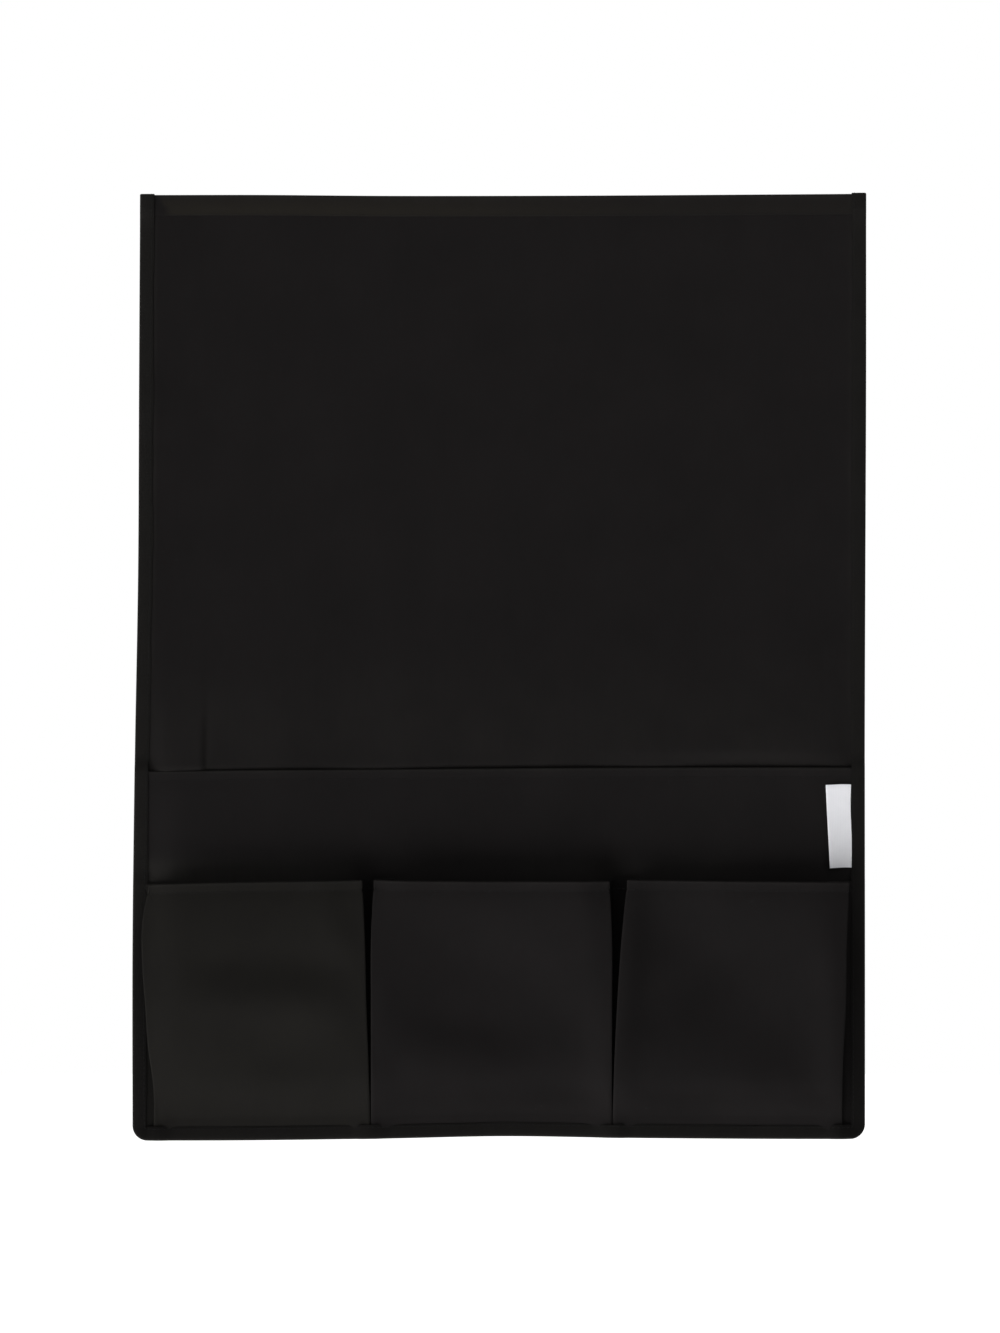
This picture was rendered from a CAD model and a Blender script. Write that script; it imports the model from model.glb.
"""A bedside caddy of black cloth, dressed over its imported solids.

One bound sheet of cloth is the tuck flap above and the hanging panel below. A full-width magazine pocket and
three pleated pockets are sewn in front of the panel, and a bare woven label stands at the right binding.
Everything is in metres, in the frame of the solids: +Z up, the pockets face -Y.
"""

import logging
import math
from dataclasses import dataclass, field
from enum import Enum
from typing import NamedTuple, Sequence

import bmesh
import bpy
import numpy as np
from bpy.types import Material, Mesh, Node, NodeInputs, NodeOutputs, NodeSocket, NodeTree, Object
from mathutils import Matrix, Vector


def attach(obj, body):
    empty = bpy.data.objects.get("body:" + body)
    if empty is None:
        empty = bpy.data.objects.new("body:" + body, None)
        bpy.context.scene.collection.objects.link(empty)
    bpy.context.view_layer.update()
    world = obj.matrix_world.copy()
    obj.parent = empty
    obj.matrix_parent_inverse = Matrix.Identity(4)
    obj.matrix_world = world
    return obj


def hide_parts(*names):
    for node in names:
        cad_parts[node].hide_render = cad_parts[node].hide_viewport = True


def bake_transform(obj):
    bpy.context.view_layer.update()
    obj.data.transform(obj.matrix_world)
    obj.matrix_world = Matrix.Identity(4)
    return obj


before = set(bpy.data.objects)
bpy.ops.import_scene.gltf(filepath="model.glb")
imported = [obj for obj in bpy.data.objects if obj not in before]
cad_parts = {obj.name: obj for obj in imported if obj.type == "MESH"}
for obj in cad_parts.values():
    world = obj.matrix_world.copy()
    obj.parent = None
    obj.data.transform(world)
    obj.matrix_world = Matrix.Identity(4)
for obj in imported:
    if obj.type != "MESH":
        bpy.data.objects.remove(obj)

log = logging.getLogger("bedside_caddy")
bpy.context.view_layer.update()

Array = np.ndarray
Colour = tuple[float, float, float, float]
Pair = tuple[float, float]
Floats = tuple[float, ...]


# Sizes


@dataclass(frozen=True)
class CaddySizes:
    """The caddy's sizes in metres, the same as its solids have."""

    width: float = 0.464
    flap_length: float = 0.315
    panel_length: float = 0.285
    cloth: float = 0.0008
    tape: float = 0.0007
    ply_gap: float = 0.0003
    flap_hem: float = 0.0135
    mouth_hem: float = 0.0073
    binding: float = 0.009
    corner_radius: float = 0.0095
    magazine_drop: float = 0.050
    magazine_lift: float = 0.0042
    magazine_side_ramp: float = 0.022
    magazine_bottom_ramp: float = 0.035
    pocket_drop: float = 0.072
    pocket_depth: float = 0.018
    pocket_belly: float = 0.002
    divider_seams: Pair = (-0.081, 0.0718)
    pleat_leaf: float = 0.016

    @property
    def top(self) -> float:
        """Height of the tuck flap's turned edge."""
        return self.flap_length / 2

    @property
    def fold(self) -> float:
        """Height at which the cloth bends over the edge of the bed."""
        return -self.flap_length / 2

    @property
    def bottom(self) -> float:
        """Height of the bound bottom edge."""
        return self.fold - self.panel_length

    @property
    def edge(self) -> float:
        """Half of the whole width."""
        return self.width / 2

    @property
    def cloth_edge(self) -> float:
        """Half of the cloth's width inside the binding."""
        return self.edge - self.tape - self.ply_gap

    @property
    def cloth_bottom(self) -> float:
        """Height of the cloth's bottom edge inside the binding."""
        return self.bottom + self.tape + self.ply_gap

    @property
    def binding_edge(self) -> float:
        """How far out the inner edge of the binding lies."""
        return self.edge - self.binding

    @property
    def magazine_mouth(self) -> float:
        """Height of the magazine pocket's mouth."""
        return self.fold - self.magazine_drop

    @property
    def pocket_mouth(self) -> float:
        """Height of the pleated pockets' mouths."""
        return self.magazine_mouth - self.pocket_drop

    @property
    def pocket_seam(self) -> float:
        """Height of the pleated pockets' bottom seam."""
        return self.bottom + self.binding + self.ply_gap

    @property
    def ply_step(self) -> float:
        """From the middle of one ply to the middle of the next in a hem."""
        return self.cloth + self.ply_gap

    @property
    def hem_stack(self) -> float:
        """Thickness of a hem."""
        return 2 * self.cloth + self.ply_gap

    @property
    def magazine_front(self) -> float:
        """How far the magazine pocket's front lies before the back face at its seams."""
        return self.cloth + self.ply_gap + self.hem_stack

    @property
    def strip_front(self) -> float:
        """How far the pocket strip's front lies before the back face at its seams."""
        return self.magazine_front + self.ply_gap + self.cloth


SIZES = CaddySizes()


# Curves and grids


def ease(value: Array | float, low: float, high: float) -> Array:
    """Runs smoothly from 0 at one value to 1 at another."""
    share = np.clip((np.asarray(value, float) - low) / (high - low), 0.0, 1.0)
    return share * share * (3.0 - 2.0 * share)


def bump(value: Array | float, centre: float, spread: float) -> Array:
    """A soft bump of height 1."""
    return np.exp(-0.5 * ((np.asarray(value, float) - centre) / spread) ** 2)


def through(values: Sequence[float], share: Array | float) -> Array:
    """Reads the smooth curve through evenly spaced values.

    Args:
        values: The values that the curve passes through.
        share: Where along the curve it is read, from 0 to 1.

    Returns:
        The curve's values, of share's shape.
    """
    known = np.asarray(values, float)
    place = np.clip(np.asarray(share, float), 0.0, 1.0) * (len(known) - 1)
    left = np.minimum(place.astype(int), len(known) - 2)
    part = place - left
    ends = [[2 * known[0] - known[1]], known, [2 * known[-1] - known[-2]]]
    a, b, c, d = (np.concatenate(ends)[left + step] for step in range(4))
    bend = (2 * a - 5 * b + 4 * c - d) * part**2 + (3 * b - a - 3 * c + d) * part**3
    return 0.5 * (2 * b + (c - a) * part + bend)


def spread(start: float, end: float, step: float) -> Array:
    """Evenly spaced values from start up to, but without, end."""
    return np.linspace(start, end, max(1, round(abs(end - start) / step)), endpoint=False)


def graded(stops: Sequence[float], steps: Sequence[float]) -> Array:
    """Values from stop to stop, each stretch with a spacing of its own."""
    return np.concatenate([spread(*ends) for ends in zip(stops, stops[1:], steps)])


@dataclass(frozen=True)
class Wave:
    """A sine wave over a surface: how fast it turns across and up, its start and its height.

    Both rates are in radians a metre, or a share where it is read at shares.
    """

    across: float
    up: float = 0.0
    start: float = 0.0
    height: float = 1.0

    def at(self, x: Array | float, z: Array | float) -> Array:
        """The wave's height at places across and up the surface."""
        return self.height * np.sin(x * self.across + z * self.up + self.start)


def lengths_along(points: Array, axis: int) -> Array:
    """How far each point of a grid lies along its surface, up the rows for axis 0, across for axis 1."""
    steps = np.linalg.norm(np.diff(points, axis=axis), axis=2)
    return np.insert(np.cumsum(steps, axis=axis), 0, 0.0, axis=axis)


@dataclass(frozen=True)
class Lie:
    """How the whole caddy lies: the lean of its side edges and the slow waves of its other edges.

    Each tuple of numbers holds a shift in metres at evenly spaced places, side edges from the bottom up and
    the top, the magazine pocket's mouth and the bottom from left to right.
    """

    left: Floats = (-0.0018, -0.0018, -0.0004, 0.0017, 0.0023, 0.0030)
    right: Floats = (0.0014, 0.0014, 0.0013, 0.0017, 0.0022, 0.0022)
    top: Floats = (0.0009, 0.0010, 0.0004, 0.0004, 0.0007, 0.0012, 0.0017)
    mouth: Floats = (-0.0017, -0.0008, -0.0003, 0.0003, 0.0008, 0.0010, 0.0009)
    bottom: Floats = (-0.0022, -0.0019, -0.0008, 0.0006, -0.0003, -0.0009, -0.0011)
    top_from: float = 0.02
    bottom_from: float = -0.32
    ripple: float = 0.0009
    ripples: tuple[Wave, Wave] = (Wave(13.0, start=0.6), Wave(23.0, start=2.1, height=0.6))

    def settle(self, points: Array) -> Array:
        """Moves points from the plain shape to where the lying cloth has them.

        Args:
            points: Any array of points, with x, y and z last.

        Returns:
            The moved points, in an array of the same shape.
        """
        x, y, z = (points[..., axis] for axis in range(3))
        across = (x + SIZES.edge) / SIZES.width
        up = (z - SIZES.bottom) / (SIZES.top - SIZES.bottom)
        lean = through(self.left, up) * (1 - across) + through(self.right, up) * across
        lift = through(self.top, across) * ease(z, self.top_from, SIZES.top)
        drop = through(self.bottom, across) * ease(z, self.bottom_from, SIZES.bottom)
        depth = self.ripple * ease(z, SIZES.fold, SIZES.bottom)
        wave = self.ripples[0].at(across, up) + self.ripples[1].at(across, up)
        return np.stack([x + lean, y + depth * wave, z + lift + drop], axis=-1)


LIE = Lie()


@dataclass
class ClothGrid:
    """The middle surface of one piece of cloth, rows by columns.

    The marks are soft masks for its finish: seam is 1 on a line of stitches, fold is 1 on a turned or
    creased edge, reverse is 1 where the cloth shows its other face, and sheltered is 1 deep in a pleat and
    less where the cloth lies beside standing cloth, out of the dust and wear.
    """

    points: Array
    seam: Array | None = None
    fold: Array | None = None
    reverse: Array | None = None
    sheltered: Array | None = None

    def to_object(self, name: str, thickness: float) -> Object:
        """Makes the closed piece of cloth, with its flat coordinates and marks.

        Args:
            name: The piece's name.
            thickness: The cloth's thickness.

        Returns:
            The finished piece, a plain mesh.
        """
        rows, columns, _ = self.points.shape
        settled = LIE.settle(self.points)
        corner = np.arange(rows * columns).reshape(rows, columns)
        quads = np.stack([corner[:-1, :-1], corner[:-1, 1:], corner[1:, 1:], corner[1:, :-1]], axis=-1)
        mesh = bpy.data.meshes.new(name)
        mesh.from_pydata(settled.reshape(-1, 3).tolist(), [], quads.reshape(-1, 4).tolist())
        flat = np.stack([lengths_along(self.points, axis) for axis in (1, 0)], axis=-1).reshape(-1, 2)
        order = np.zeros(len(mesh.loops), np.int32)
        mesh.loops.foreach_get("vertex_index", order)
        mesh.uv_layers.new(name="cloth").data.foreach_set("uv", flat[order].astype(np.float32).ravel())
        for mark in ("seam", "fold", "reverse", "sheltered"):
            values = getattr(self, mark)
            values = np.broadcast_to(0.0 if values is None else values, (rows, columns))
            layer = mesh.attributes.new(mark, "FLOAT", "POINT")
            layer.data.foreach_set("value", values.astype(np.float32).ravel())
        made = bpy.data.objects.new(name, mesh)
        bpy.context.scene.collection.objects.link(made)
        shell = made.modifiers.new("thickness", "SOLIDIFY")
        shell.thickness = thickness
        shell.offset = 0.0
        apply_modifiers(made)
        turn_outward(made.data)
        smooth(made.data, sharpest=50.0)
        log.info("%s: %d faces", name, len(made.data.polygons))
        return made


def apply_modifiers(made: Object) -> None:
    """Replaces an object's mesh by what its modifiers make of it, and removes them.

    Args:
        made: The object.
    """
    graph = bpy.context.evaluated_depsgraph_get()
    result = bpy.data.meshes.new_from_object(made.evaluated_get(graph), depsgraph=graph)
    made.modifiers.clear()
    made.data = result
    result.name = made.name


def turn_outward(mesh: Mesh) -> None:
    """Turns a closed mesh's faces so that they all point out.

    Args:
        mesh: The mesh.
    """
    shape = bmesh.new()
    shape.from_mesh(mesh)
    if shape.calc_volume(signed=True) < 0:
        bmesh.ops.reverse_faces(shape, faces=shape.faces)
        shape.to_mesh(mesh)
    shape.free()


def smooth(mesh: Mesh, sharpest: float) -> None:
    """Shades a mesh smooth, apart from its sharp edges.

    Args:
        mesh: The mesh.
        sharpest: Edges that turn by more than this, in degrees, stay sharp.
    """
    mesh.polygons.foreach_set("use_smooth", [True] * len(mesh.polygons))
    mesh.set_sharp_from_angle(angle=math.radians(sharpest))
    mesh.update()


# Finishes


def linear(red: int, green: int, blue: int) -> Colour:
    """Turns a colour as a screen shows it, each part 0 to 255, into a shader's values.

    Args:
        red: The red part.
        green: The green part.
        blue: The blue part.

    Returns:
        The linear colour, with full alpha.
    """
    shares = [part / 255 for part in (red, green, blue)]
    parts = [share / 12.92 if share <= 0.04045 else ((share + 0.055) / 1.055) ** 2.4 for share in shares]
    return (parts[0], parts[1], parts[2], 1.0)


def grey(level: float) -> Colour:
    """A grey of a linear level, with full alpha."""
    return (level, level, level, 1.0)


class NodeBench:
    """Adds and links the nodes of one node tree."""

    def __init__(self, tree: NodeTree) -> None:
        """Takes the tree that the nodes go into."""
        self.tree = tree

    def add(self, kind: str, *inputs: object, **settings: object) -> Node:
        """Adds a node.

        Args:
            kind: The node's type.
            inputs: What goes into its sockets in order: a value, another node's socket, or None to skip one.
            settings: The node's own properties.

        Returns:
            The node.
        """
        node = self.tree.nodes.new(kind)
        for name, value in settings.items():
            setattr(node, name, value)
        for socket, value in zip(node.inputs, inputs):
            self.feed(socket, value)
        return node

    def feed(self, socket: NodeSocket, value: object) -> None:
        """Links or sets one input socket.

        Args:
            socket: The input socket.
            value: A value, another node's output socket, or None to leave it as it is.
        """
        if isinstance(value, NodeSocket):
            self.tree.links.new(value, socket)
        elif value is not None:
            socket.default_value = value

    def feed_all(self, sockets: NodeInputs, values: dict[str, object]) -> None:
        """Links or sets input sockets by name."""
        for label, value in values.items():
            self.feed(sockets[label], value)

    def math(self, operation: str, *inputs: object) -> NodeSocket:
        """Adds a Math node and gives its result."""
        return self.add("ShaderNodeMath", *inputs, operation=operation).outputs[0]

    def mix(self, factor: object, first: object, second: object) -> NodeSocket:
        """Mixes two colours, with factor as the second one's share."""
        skipped = [None] * 5
        return self.add("ShaderNodeMix", factor, *skipped, first, second, data_type="RGBA").outputs[2]

    def noise(
        self, place: object, scale: object, detail: float = 2.0, roughness: float = 0.5
    ) -> Node:
        """Adds a noise texture."""
        return self.add("ShaderNodeTexNoise", place, None, scale, detail, roughness)


class SurfaceEffects:
    """The shader node groups that the finishes share, each built once."""

    def __init__(self) -> None:
        """Builds the groups."""
        self.weave = self._weave()
        self.drift = self._drift()
        self.lint = self._lint()
        self.pucker = self._pucker()

    @staticmethod
    def _group(
        name: str, values: dict[str, float], outputs: Sequence[str]
    ) -> tuple[NodeBench, NodeOutputs, NodeInputs]:
        """Starts a node group, whose first input is the place that it is read at.

        Args:
            name: The group's name.
            values: The names and plain values of its other inputs.
            outputs: The names of its outputs, all plain numbers.

        Returns:
            The group's bench, the sockets of its inputs and the sockets that its outputs are fed into.
        """
        tree = bpy.data.node_groups.new(name, "ShaderNodeTree")
        tree.interface.new_socket("Place", in_out="INPUT", socket_type="NodeSocketVector")
        for label, value in values.items():
            socket = tree.interface.new_socket(label, in_out="INPUT", socket_type="NodeSocketFloat")
            socket.default_value = value
        for label in outputs:
            tree.interface.new_socket(label, in_out="OUTPUT", socket_type="NodeSocketFloat")
        bench = NodeBench(tree)
        return bench, bench.add("NodeGroupInput").outputs, bench.add("NodeGroupOutput").inputs

    def _weave(self) -> NodeTree:
        """A plain weave: threads that pass over and under each other by turns.

        Returns:
            The group, which gives the height of the threads and a mask of those that run upward.
        """
        values = {"Across": 0.0006, "Along": 0.0006, "Unevenness": 0.3}
        bench, given, made = self._group("plain weave", values, ("Height", "Upward"))
        wander = bench.noise(given["Place"], scale=900.0)
        sway = bench.math("SUBTRACT", wander.outputs["Fac"], 0.5)
        sway = bench.math("MULTIPLY", sway, given["Unevenness"])
        place = bench.add("ShaderNodeSeparateXYZ", given["Place"]).outputs
        counts = [
            bench.math("ADD", bench.math("DIVIDE", place[axis], given[label]), sway)
            for axis, label in enumerate(("Across", "Along"))
        ]
        turns = (bench.math("MULTIPLY", bench.math("FRACT", count), math.pi) for count in counts)
        rounds = [bench.math("SINE", turn) for turn in turns]
        cells = bench.math("ADD", *(bench.math("FLOOR", count) for count in counts))
        upward = bench.math("PINGPONG", cells, 1.0)
        over_up, over_across = (
            bench.math("MULTIPLY", thread, bench.math("MULTIPLY_ADD", other, 0.5, 0.5))
            for thread, other in (rounds, rounds[::-1])
        )
        part = bench.math("MULTIPLY", over_up, upward)
        height = bench.math("MULTIPLY_ADD", over_across, bench.math("SUBTRACT", 1.0, upward), part)
        bench.feed_all(made, {"Height": height, "Upward": upward})
        return bench.tree

    def _drift(self) -> NodeTree:
        """Slow change of tone over a large piece, as of dye and handling, with the thicker threads' slubs.

        Returns:
            The group, which gives a value from 0 to 1 that is mostly near a half.
        """
        slub_share, slub_stretch = 0.3, (400.0, 400.0, 60.0)
        bench, given, made = self._group("tone drift", {"Patches": 22.0}, ("Value",))
        broad = bench.noise(given["Place"], given["Patches"], detail=3.0, roughness=0.55)
        place = bench.add("ShaderNodeVectorMath", given["Place"], slub_stretch, operation="MULTIPLY")
        slubs = bench.noise(place.outputs[0], scale=1.0)
        patches = bench.math("MULTIPLY", broad.outputs["Fac"], 1 - slub_share)
        value = bench.math("MULTIPLY_ADD", slubs.outputs["Fac"], slub_share, patches)
        bench.feed_all(made, {"Value": value})
        return bench.tree

    def _lint(self) -> NodeTree:
        """Sparse short fibres and specks that lie on dark cloth.

        Returns:
            The group, which gives their mask.
        """
        fibre_width, bare_share, bends = 0.012, 0.68, (0.004, 0.004, 0.004)
        bench, given, made = self._group("lint", {"Amount": 0.2}, ("Mask",))
        bend = bench.noise(given["Place"], scale=160.0, detail=1.0)
        shift = bench.add("ShaderNodeVectorMath", bend.outputs["Color"], bends, operation="MULTIPLY")
        place = bench.add("ShaderNodeVectorMath", given["Place"], shift.outputs[0], operation="ADD")
        fibres = bench.add("ShaderNodeTexVoronoi", place.outputs[0], None, 260.0, feature="DISTANCE_TO_EDGE")
        thin = bench.math("LESS_THAN", fibres.outputs["Distance"], fibre_width)
        sparse = bench.noise(given["Place"], scale=420.0, detail=1.0)
        kept = bench.math("GREATER_THAN", sparse.outputs["Fac"], bare_share)
        mask = bench.math("MULTIPLY", bench.math("MULTIPLY", thin, kept), given["Amount"])
        bench.feed_all(made, {"Mask": mask})
        return bench.tree

    def _pucker(self) -> NodeTree:
        """Short ripples that a line of stitches pulls into the cloth beside it.

        Returns:
            The group, which gives their height.
        """
        bench, given, made = self._group("seam pucker", {"Seam": 0.0, "Ripples": 330.0}, ("Height",))
        ripples = bench.noise(given["Place"], given["Ripples"])
        bench.feed_all(made, {"Height": bench.math("MULTIPLY", ripples.outputs["Fac"], given["Seam"])})
        return bench.tree


class Finish:
    """A finish that is built once as a material."""

    name: str
    relief: float

    def material(self, effects: SurfaceEffects) -> Material:
        """Builds the material, or gives the one that is there.

        Args:
            effects: The shared node groups.

        Returns:
            The material.
        """
        known = bpy.data.materials.get(self.name)
        if known:
            return known
        made = bpy.data.materials.new(self.name)
        made.use_nodes = True
        made.node_tree.nodes.clear()
        bench = NodeBench(made.node_tree)
        shader = bench.add("ShaderNodeBsdfPrincipled")
        output = bench.add("ShaderNodeOutputMaterial")
        bench.feed(output.inputs["Surface"], shader.outputs[0])
        self.dress(bench, shader, effects)
        return made

    def dress(self, bench: NodeBench, shader: Node, effects: SurfaceEffects) -> None:
        """Adds the finish's own nodes before the shader."""
        raise NotImplementedError

    @staticmethod
    def effect(bench: NodeBench, group: NodeTree, **inputs: object) -> NodeOutputs:
        """Places a shared node group in a material.

        Args:
            bench: The material's bench.
            group: The group.
            inputs: What goes into its named inputs.

        Returns:
            The group's outputs.
        """
        node = bench.add("ShaderNodeGroup", node_tree=group)
        bench.feed_all(node.inputs, inputs)
        return node.outputs

    @staticmethod
    def mark(bench: NodeBench, name: str) -> NodeSocket:
        """The socket of a mark that the mesh carries under a name."""
        return bench.add("ShaderNodeAttribute", attribute_name=name).outputs["Fac"]

    @staticmethod
    def places(bench: NodeBench) -> tuple[NodeSocket, NodeSocket]:
        """The sockets of the flat cloth's coordinates and of the object's own."""
        flat = bench.add("ShaderNodeUVMap", uv_map="cloth").outputs[0]
        return flat, bench.add("ShaderNodeTexCoord").outputs["Object"]

    def emboss(self, bench: NodeBench, shader: Node, height: NodeSocket) -> None:
        """Raises the finish's relief on the shader.

        Args:
            bench: The material's bench.
            shader: The Principled shader.
            height: The relief's height, as a share of the finish's relief.
        """
        relief = bench.add("ShaderNodeBump")
        bench.feed_all(relief.inputs, {"Strength": 1.0, "Distance": self.relief, "Height": height})
        bench.feed(shader.inputs["Normal"], relief.outputs[0])


@dataclass(frozen=True)
class WovenCloth(Finish):
    """Matt woven cloth: two slightly different thread colours, slow drift of tone, lint and rubbed folds."""

    name: str
    thread: Colour
    cross_thread: Colour
    rubbed: Colour
    reverse: Colour | None = None
    across: float = 0.00062
    along: float = 0.00056
    unevenness: float = 0.3
    patches: float = 22.0
    ripples: float = 330.0
    toned_by: str = "Upward"
    contrast: float = 0.35
    dark_share: float = 0.18
    wear: float = 0.9
    lint: float = 0.35
    lint_colour: Colour = linear(52, 52, 53)
    sheltered: Colour = linear(9, 8, 8)
    roughness: float = 0.97
    smoother_threads: float = 0.10
    gloss: float = 0.025
    sheen: float = 0.008
    sheen_roughness: float = 0.6
    puckered: float = 3.0
    relief: float = 0.00007

    def dress(self, bench: NodeBench, shader: Node, effects: SurfaceEffects) -> None:
        """Adds the weave, its colours and its relief.

        Args:
            bench: The material's bench.
            shader: The Principled shader.
            effects: The shared node groups.
        """
        flat, solid = self.places(bench)
        weave = self.effect(
            bench, effects.weave, Place=flat, Across=self.across, Along=self.along, Unevenness=self.unevenness
        )
        drift = self.effect(bench, effects.drift, Place=solid, Patches=self.patches)["Value"]
        lint = self.effect(bench, effects.lint, Place=solid, Amount=self.lint)["Mask"]
        seam = self.mark(bench, "seam")
        pucker = self.effect(bench, effects.pucker, Place=flat, Seam=seam, Ripples=self.ripples)["Height"]
        tone = bench.math("MULTIPLY_ADD", weave[self.toned_by], self.contrast, drift)
        colour = bench.mix(bench.math("SUBTRACT", tone, self.dark_share), self.thread, self.cross_thread)
        if self.reverse:
            colour = bench.mix(self.mark(bench, "reverse"), colour, self.reverse)
        rub = bench.math("MULTIPLY", self.mark(bench, "fold"), bench.math("MULTIPLY", drift, self.wear))
        colour = bench.mix(rub, colour, self.rubbed)
        colour = bench.mix(lint, colour, self.lint_colour)
        colour = bench.mix(self.mark(bench, "sheltered"), colour, self.sheltered)
        rough = bench.math("MULTIPLY_ADD", weave["Height"], -self.smoother_threads, self.roughness)
        plain = {
            "Specular IOR Level": self.gloss,
            "Sheen Weight": self.sheen,
            "Sheen Roughness": self.sheen_roughness,
        }
        bench.feed_all(shader.inputs, {"Base Color": colour, "Roughness": rough, **plain})
        self.emboss(bench, shader, bench.math("MULTIPLY_ADD", pucker, self.puckered, weave["Height"]))


@dataclass(frozen=True)
class RibbedTape(WovenCloth):
    """Binding tape with fine ribs across it, which give it its change of tone."""

    across: float = 0.0004
    along: float = 0.0009
    unevenness: float = 0.2
    patches: float = 40.0
    ripples: float = 420.0
    toned_by: str = "Height"
    contrast: float = 0.4
    dark_share: float = 0.2
    lint: float = 0.3
    lint_colour: Colour = linear(50, 50, 51)
    roughness: float = 0.9
    smoother_threads: float = 0.2
    gloss: float = 0.03
    sheen: float = 0.01
    sheen_roughness: float = 0.5
    puckered: float = 3.5
    relief: float = 0.00009


@dataclass(frozen=True)
class SatinLabel(Finish):
    """White satin-woven label, bare, with fine lines across and slightly greyed edges."""

    name: str
    yarn: Colour
    shaded: Colour
    column: float = 0.0011
    line: float = 0.00034
    unevenness: float = 0.15
    patches: float = 120.0
    line_shade: float = 0.22
    drift_shade: float = 0.25
    edge_shade: float = 0.35
    roughness: float = 0.62
    smoother_lines: float = 0.2
    gloss: float = 0.3
    sheen: float = 0.1
    relief: float = 0.00004

    def dress(self, bench: NodeBench, shader: Node, effects: SurfaceEffects) -> None:
        """Adds the satin lines, a soft unevenness and the greyed edges.

        Args:
            bench: The material's bench.
            shader: The Principled shader.
            effects: The shared node groups.
        """
        flat, solid = self.places(bench)
        lines = self.effect(
            bench, effects.weave, Place=flat, Across=self.column, Along=self.line, Unevenness=self.unevenness
        )["Height"]
        drift = self.effect(bench, effects.drift, Place=solid, Patches=self.patches)["Value"]
        shade = bench.math("MULTIPLY", bench.math("SUBTRACT", 1.0, lines), self.line_shade)
        shade = bench.math("MULTIPLY_ADD", drift, self.drift_shade, shade)
        shade = bench.math("MULTIPLY_ADD", self.mark(bench, "fold"), self.edge_shade, shade)
        colour = bench.mix(shade, self.yarn, self.shaded)
        rough = bench.math("MULTIPLY_ADD", lines, -self.smoother_lines, self.roughness)
        plain = {"Specular IOR Level": self.gloss, "Sheen Weight": self.sheen}
        bench.feed_all(shader.inputs, {"Base Color": colour, "Roughness": rough, **plain})
        self.emboss(bench, shader, lines)


@dataclass(frozen=True)
class SewingThread(Finish):
    """Black sewing thread, a little shinier than the cloth, each stitch with its own tone."""

    name: str
    dark: Colour
    light: Colour
    patches: float = 900.0
    own_tone: float = 0.6
    roughness: float = 0.4
    rougher: float = 0.3
    gloss: float = 0.08
    relief: float = 0.00004

    def dress(self, bench: NodeBench, shader: Node, effects: SurfaceEffects) -> None:
        """Adds the twist and the change of tone from stitch to stitch.

        Args:
            bench: The material's bench.
            shader: The Principled shader.
            effects: The shared node groups.
        """
        solid = bench.add("ShaderNodeTexCoord").outputs["Object"]
        tone = bench.math("MULTIPLY", self.mark(bench, "yarn_tone"), self.own_tone)
        drift = self.effect(bench, effects.drift, Place=solid, Patches=self.patches)["Value"]
        share = bench.math("MULTIPLY_ADD", drift, 1 - self.own_tone, tone)
        colour = bench.mix(share, self.dark, self.light)
        rough = bench.math("MULTIPLY_ADD", drift, self.rougher, self.roughness)
        plain = {"Specular IOR Level": self.gloss}
        bench.feed_all(shader.inputs, {"Base Color": colour, "Roughness": rough, **plain})
        self.emboss(bench, shader, drift)


@dataclass(frozen=True)
class CaddyFinishes:
    """The finishes of the caddy's pieces."""

    effects: SurfaceEffects = field(default_factory=SurfaceEffects)
    panel: WovenCloth = WovenCloth(
        "panel cloth", linear(20, 19, 19), linear(28, 26, 26), linear(41, 40, 38), linear(32, 30, 27)
    )
    magazine: WovenCloth = WovenCloth(
        "panel cloth, lighter", linear(23, 22, 22), linear(31, 29, 29), linear(43, 42, 40)
    )
    pocket: WovenCloth = WovenCloth(
        "pocket cloth", linear(19, 18, 18), linear(27, 25, 25), linear(41, 39, 38)
    )
    warm_pocket: WovenCloth = WovenCloth(
        "pocket cloth, warmer", linear(21, 20, 19), linear(29, 28, 26), linear(42, 41, 39)
    )
    binding: RibbedTape = RibbedTape(
        "binding tape", linear(20, 19, 18), linear(27, 26, 25), linear(38, 37, 35)
    )
    label: SatinLabel = SatinLabel("label weave", linear(250, 250, 253), linear(210, 211, 218))
    thread: SewingThread = SewingThread("sewing thread", linear(13, 13, 13), linear(24, 24, 24))

    def dress(self, made: Object, finish: Finish, slot: str) -> None:
        """Gives a piece its material and names the record's slot for it.

        Args:
            made: The piece.
            finish: Its finish.
            slot: The record's material slot.
        """
        made.data.materials.clear()
        made.data.materials.append(finish.material(self.effects))


# Sewing


class Stage(Enum):
    """Where along the caddy's length a line of stitches rides."""

    FLAP = "tuck_flap"
    PANEL = "hanging_panel"


@dataclass
class StitchLine:
    """A line of stitches: the points that it runs through and the cloth's outward direction at each."""

    points: Array
    outward: Array

    @classmethod
    def level(cls, points: Array, outward: float) -> "StitchLine":
        """A line on cloth that faces straight forward, with -1 for outward, or back, with 1."""
        return cls(points, np.tile([0.0, outward, 0.0], (len(points), 1)))


@dataclass(frozen=True)
class Stitch:
    """One stitch of the sewing thread, in metres, with the sides and rings of its rounded body."""

    length: float = 0.0024
    gap: float = 0.0008
    width: float = 0.00042
    height: float = 0.00034
    sides: int = 8
    rings: int = 5


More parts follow.
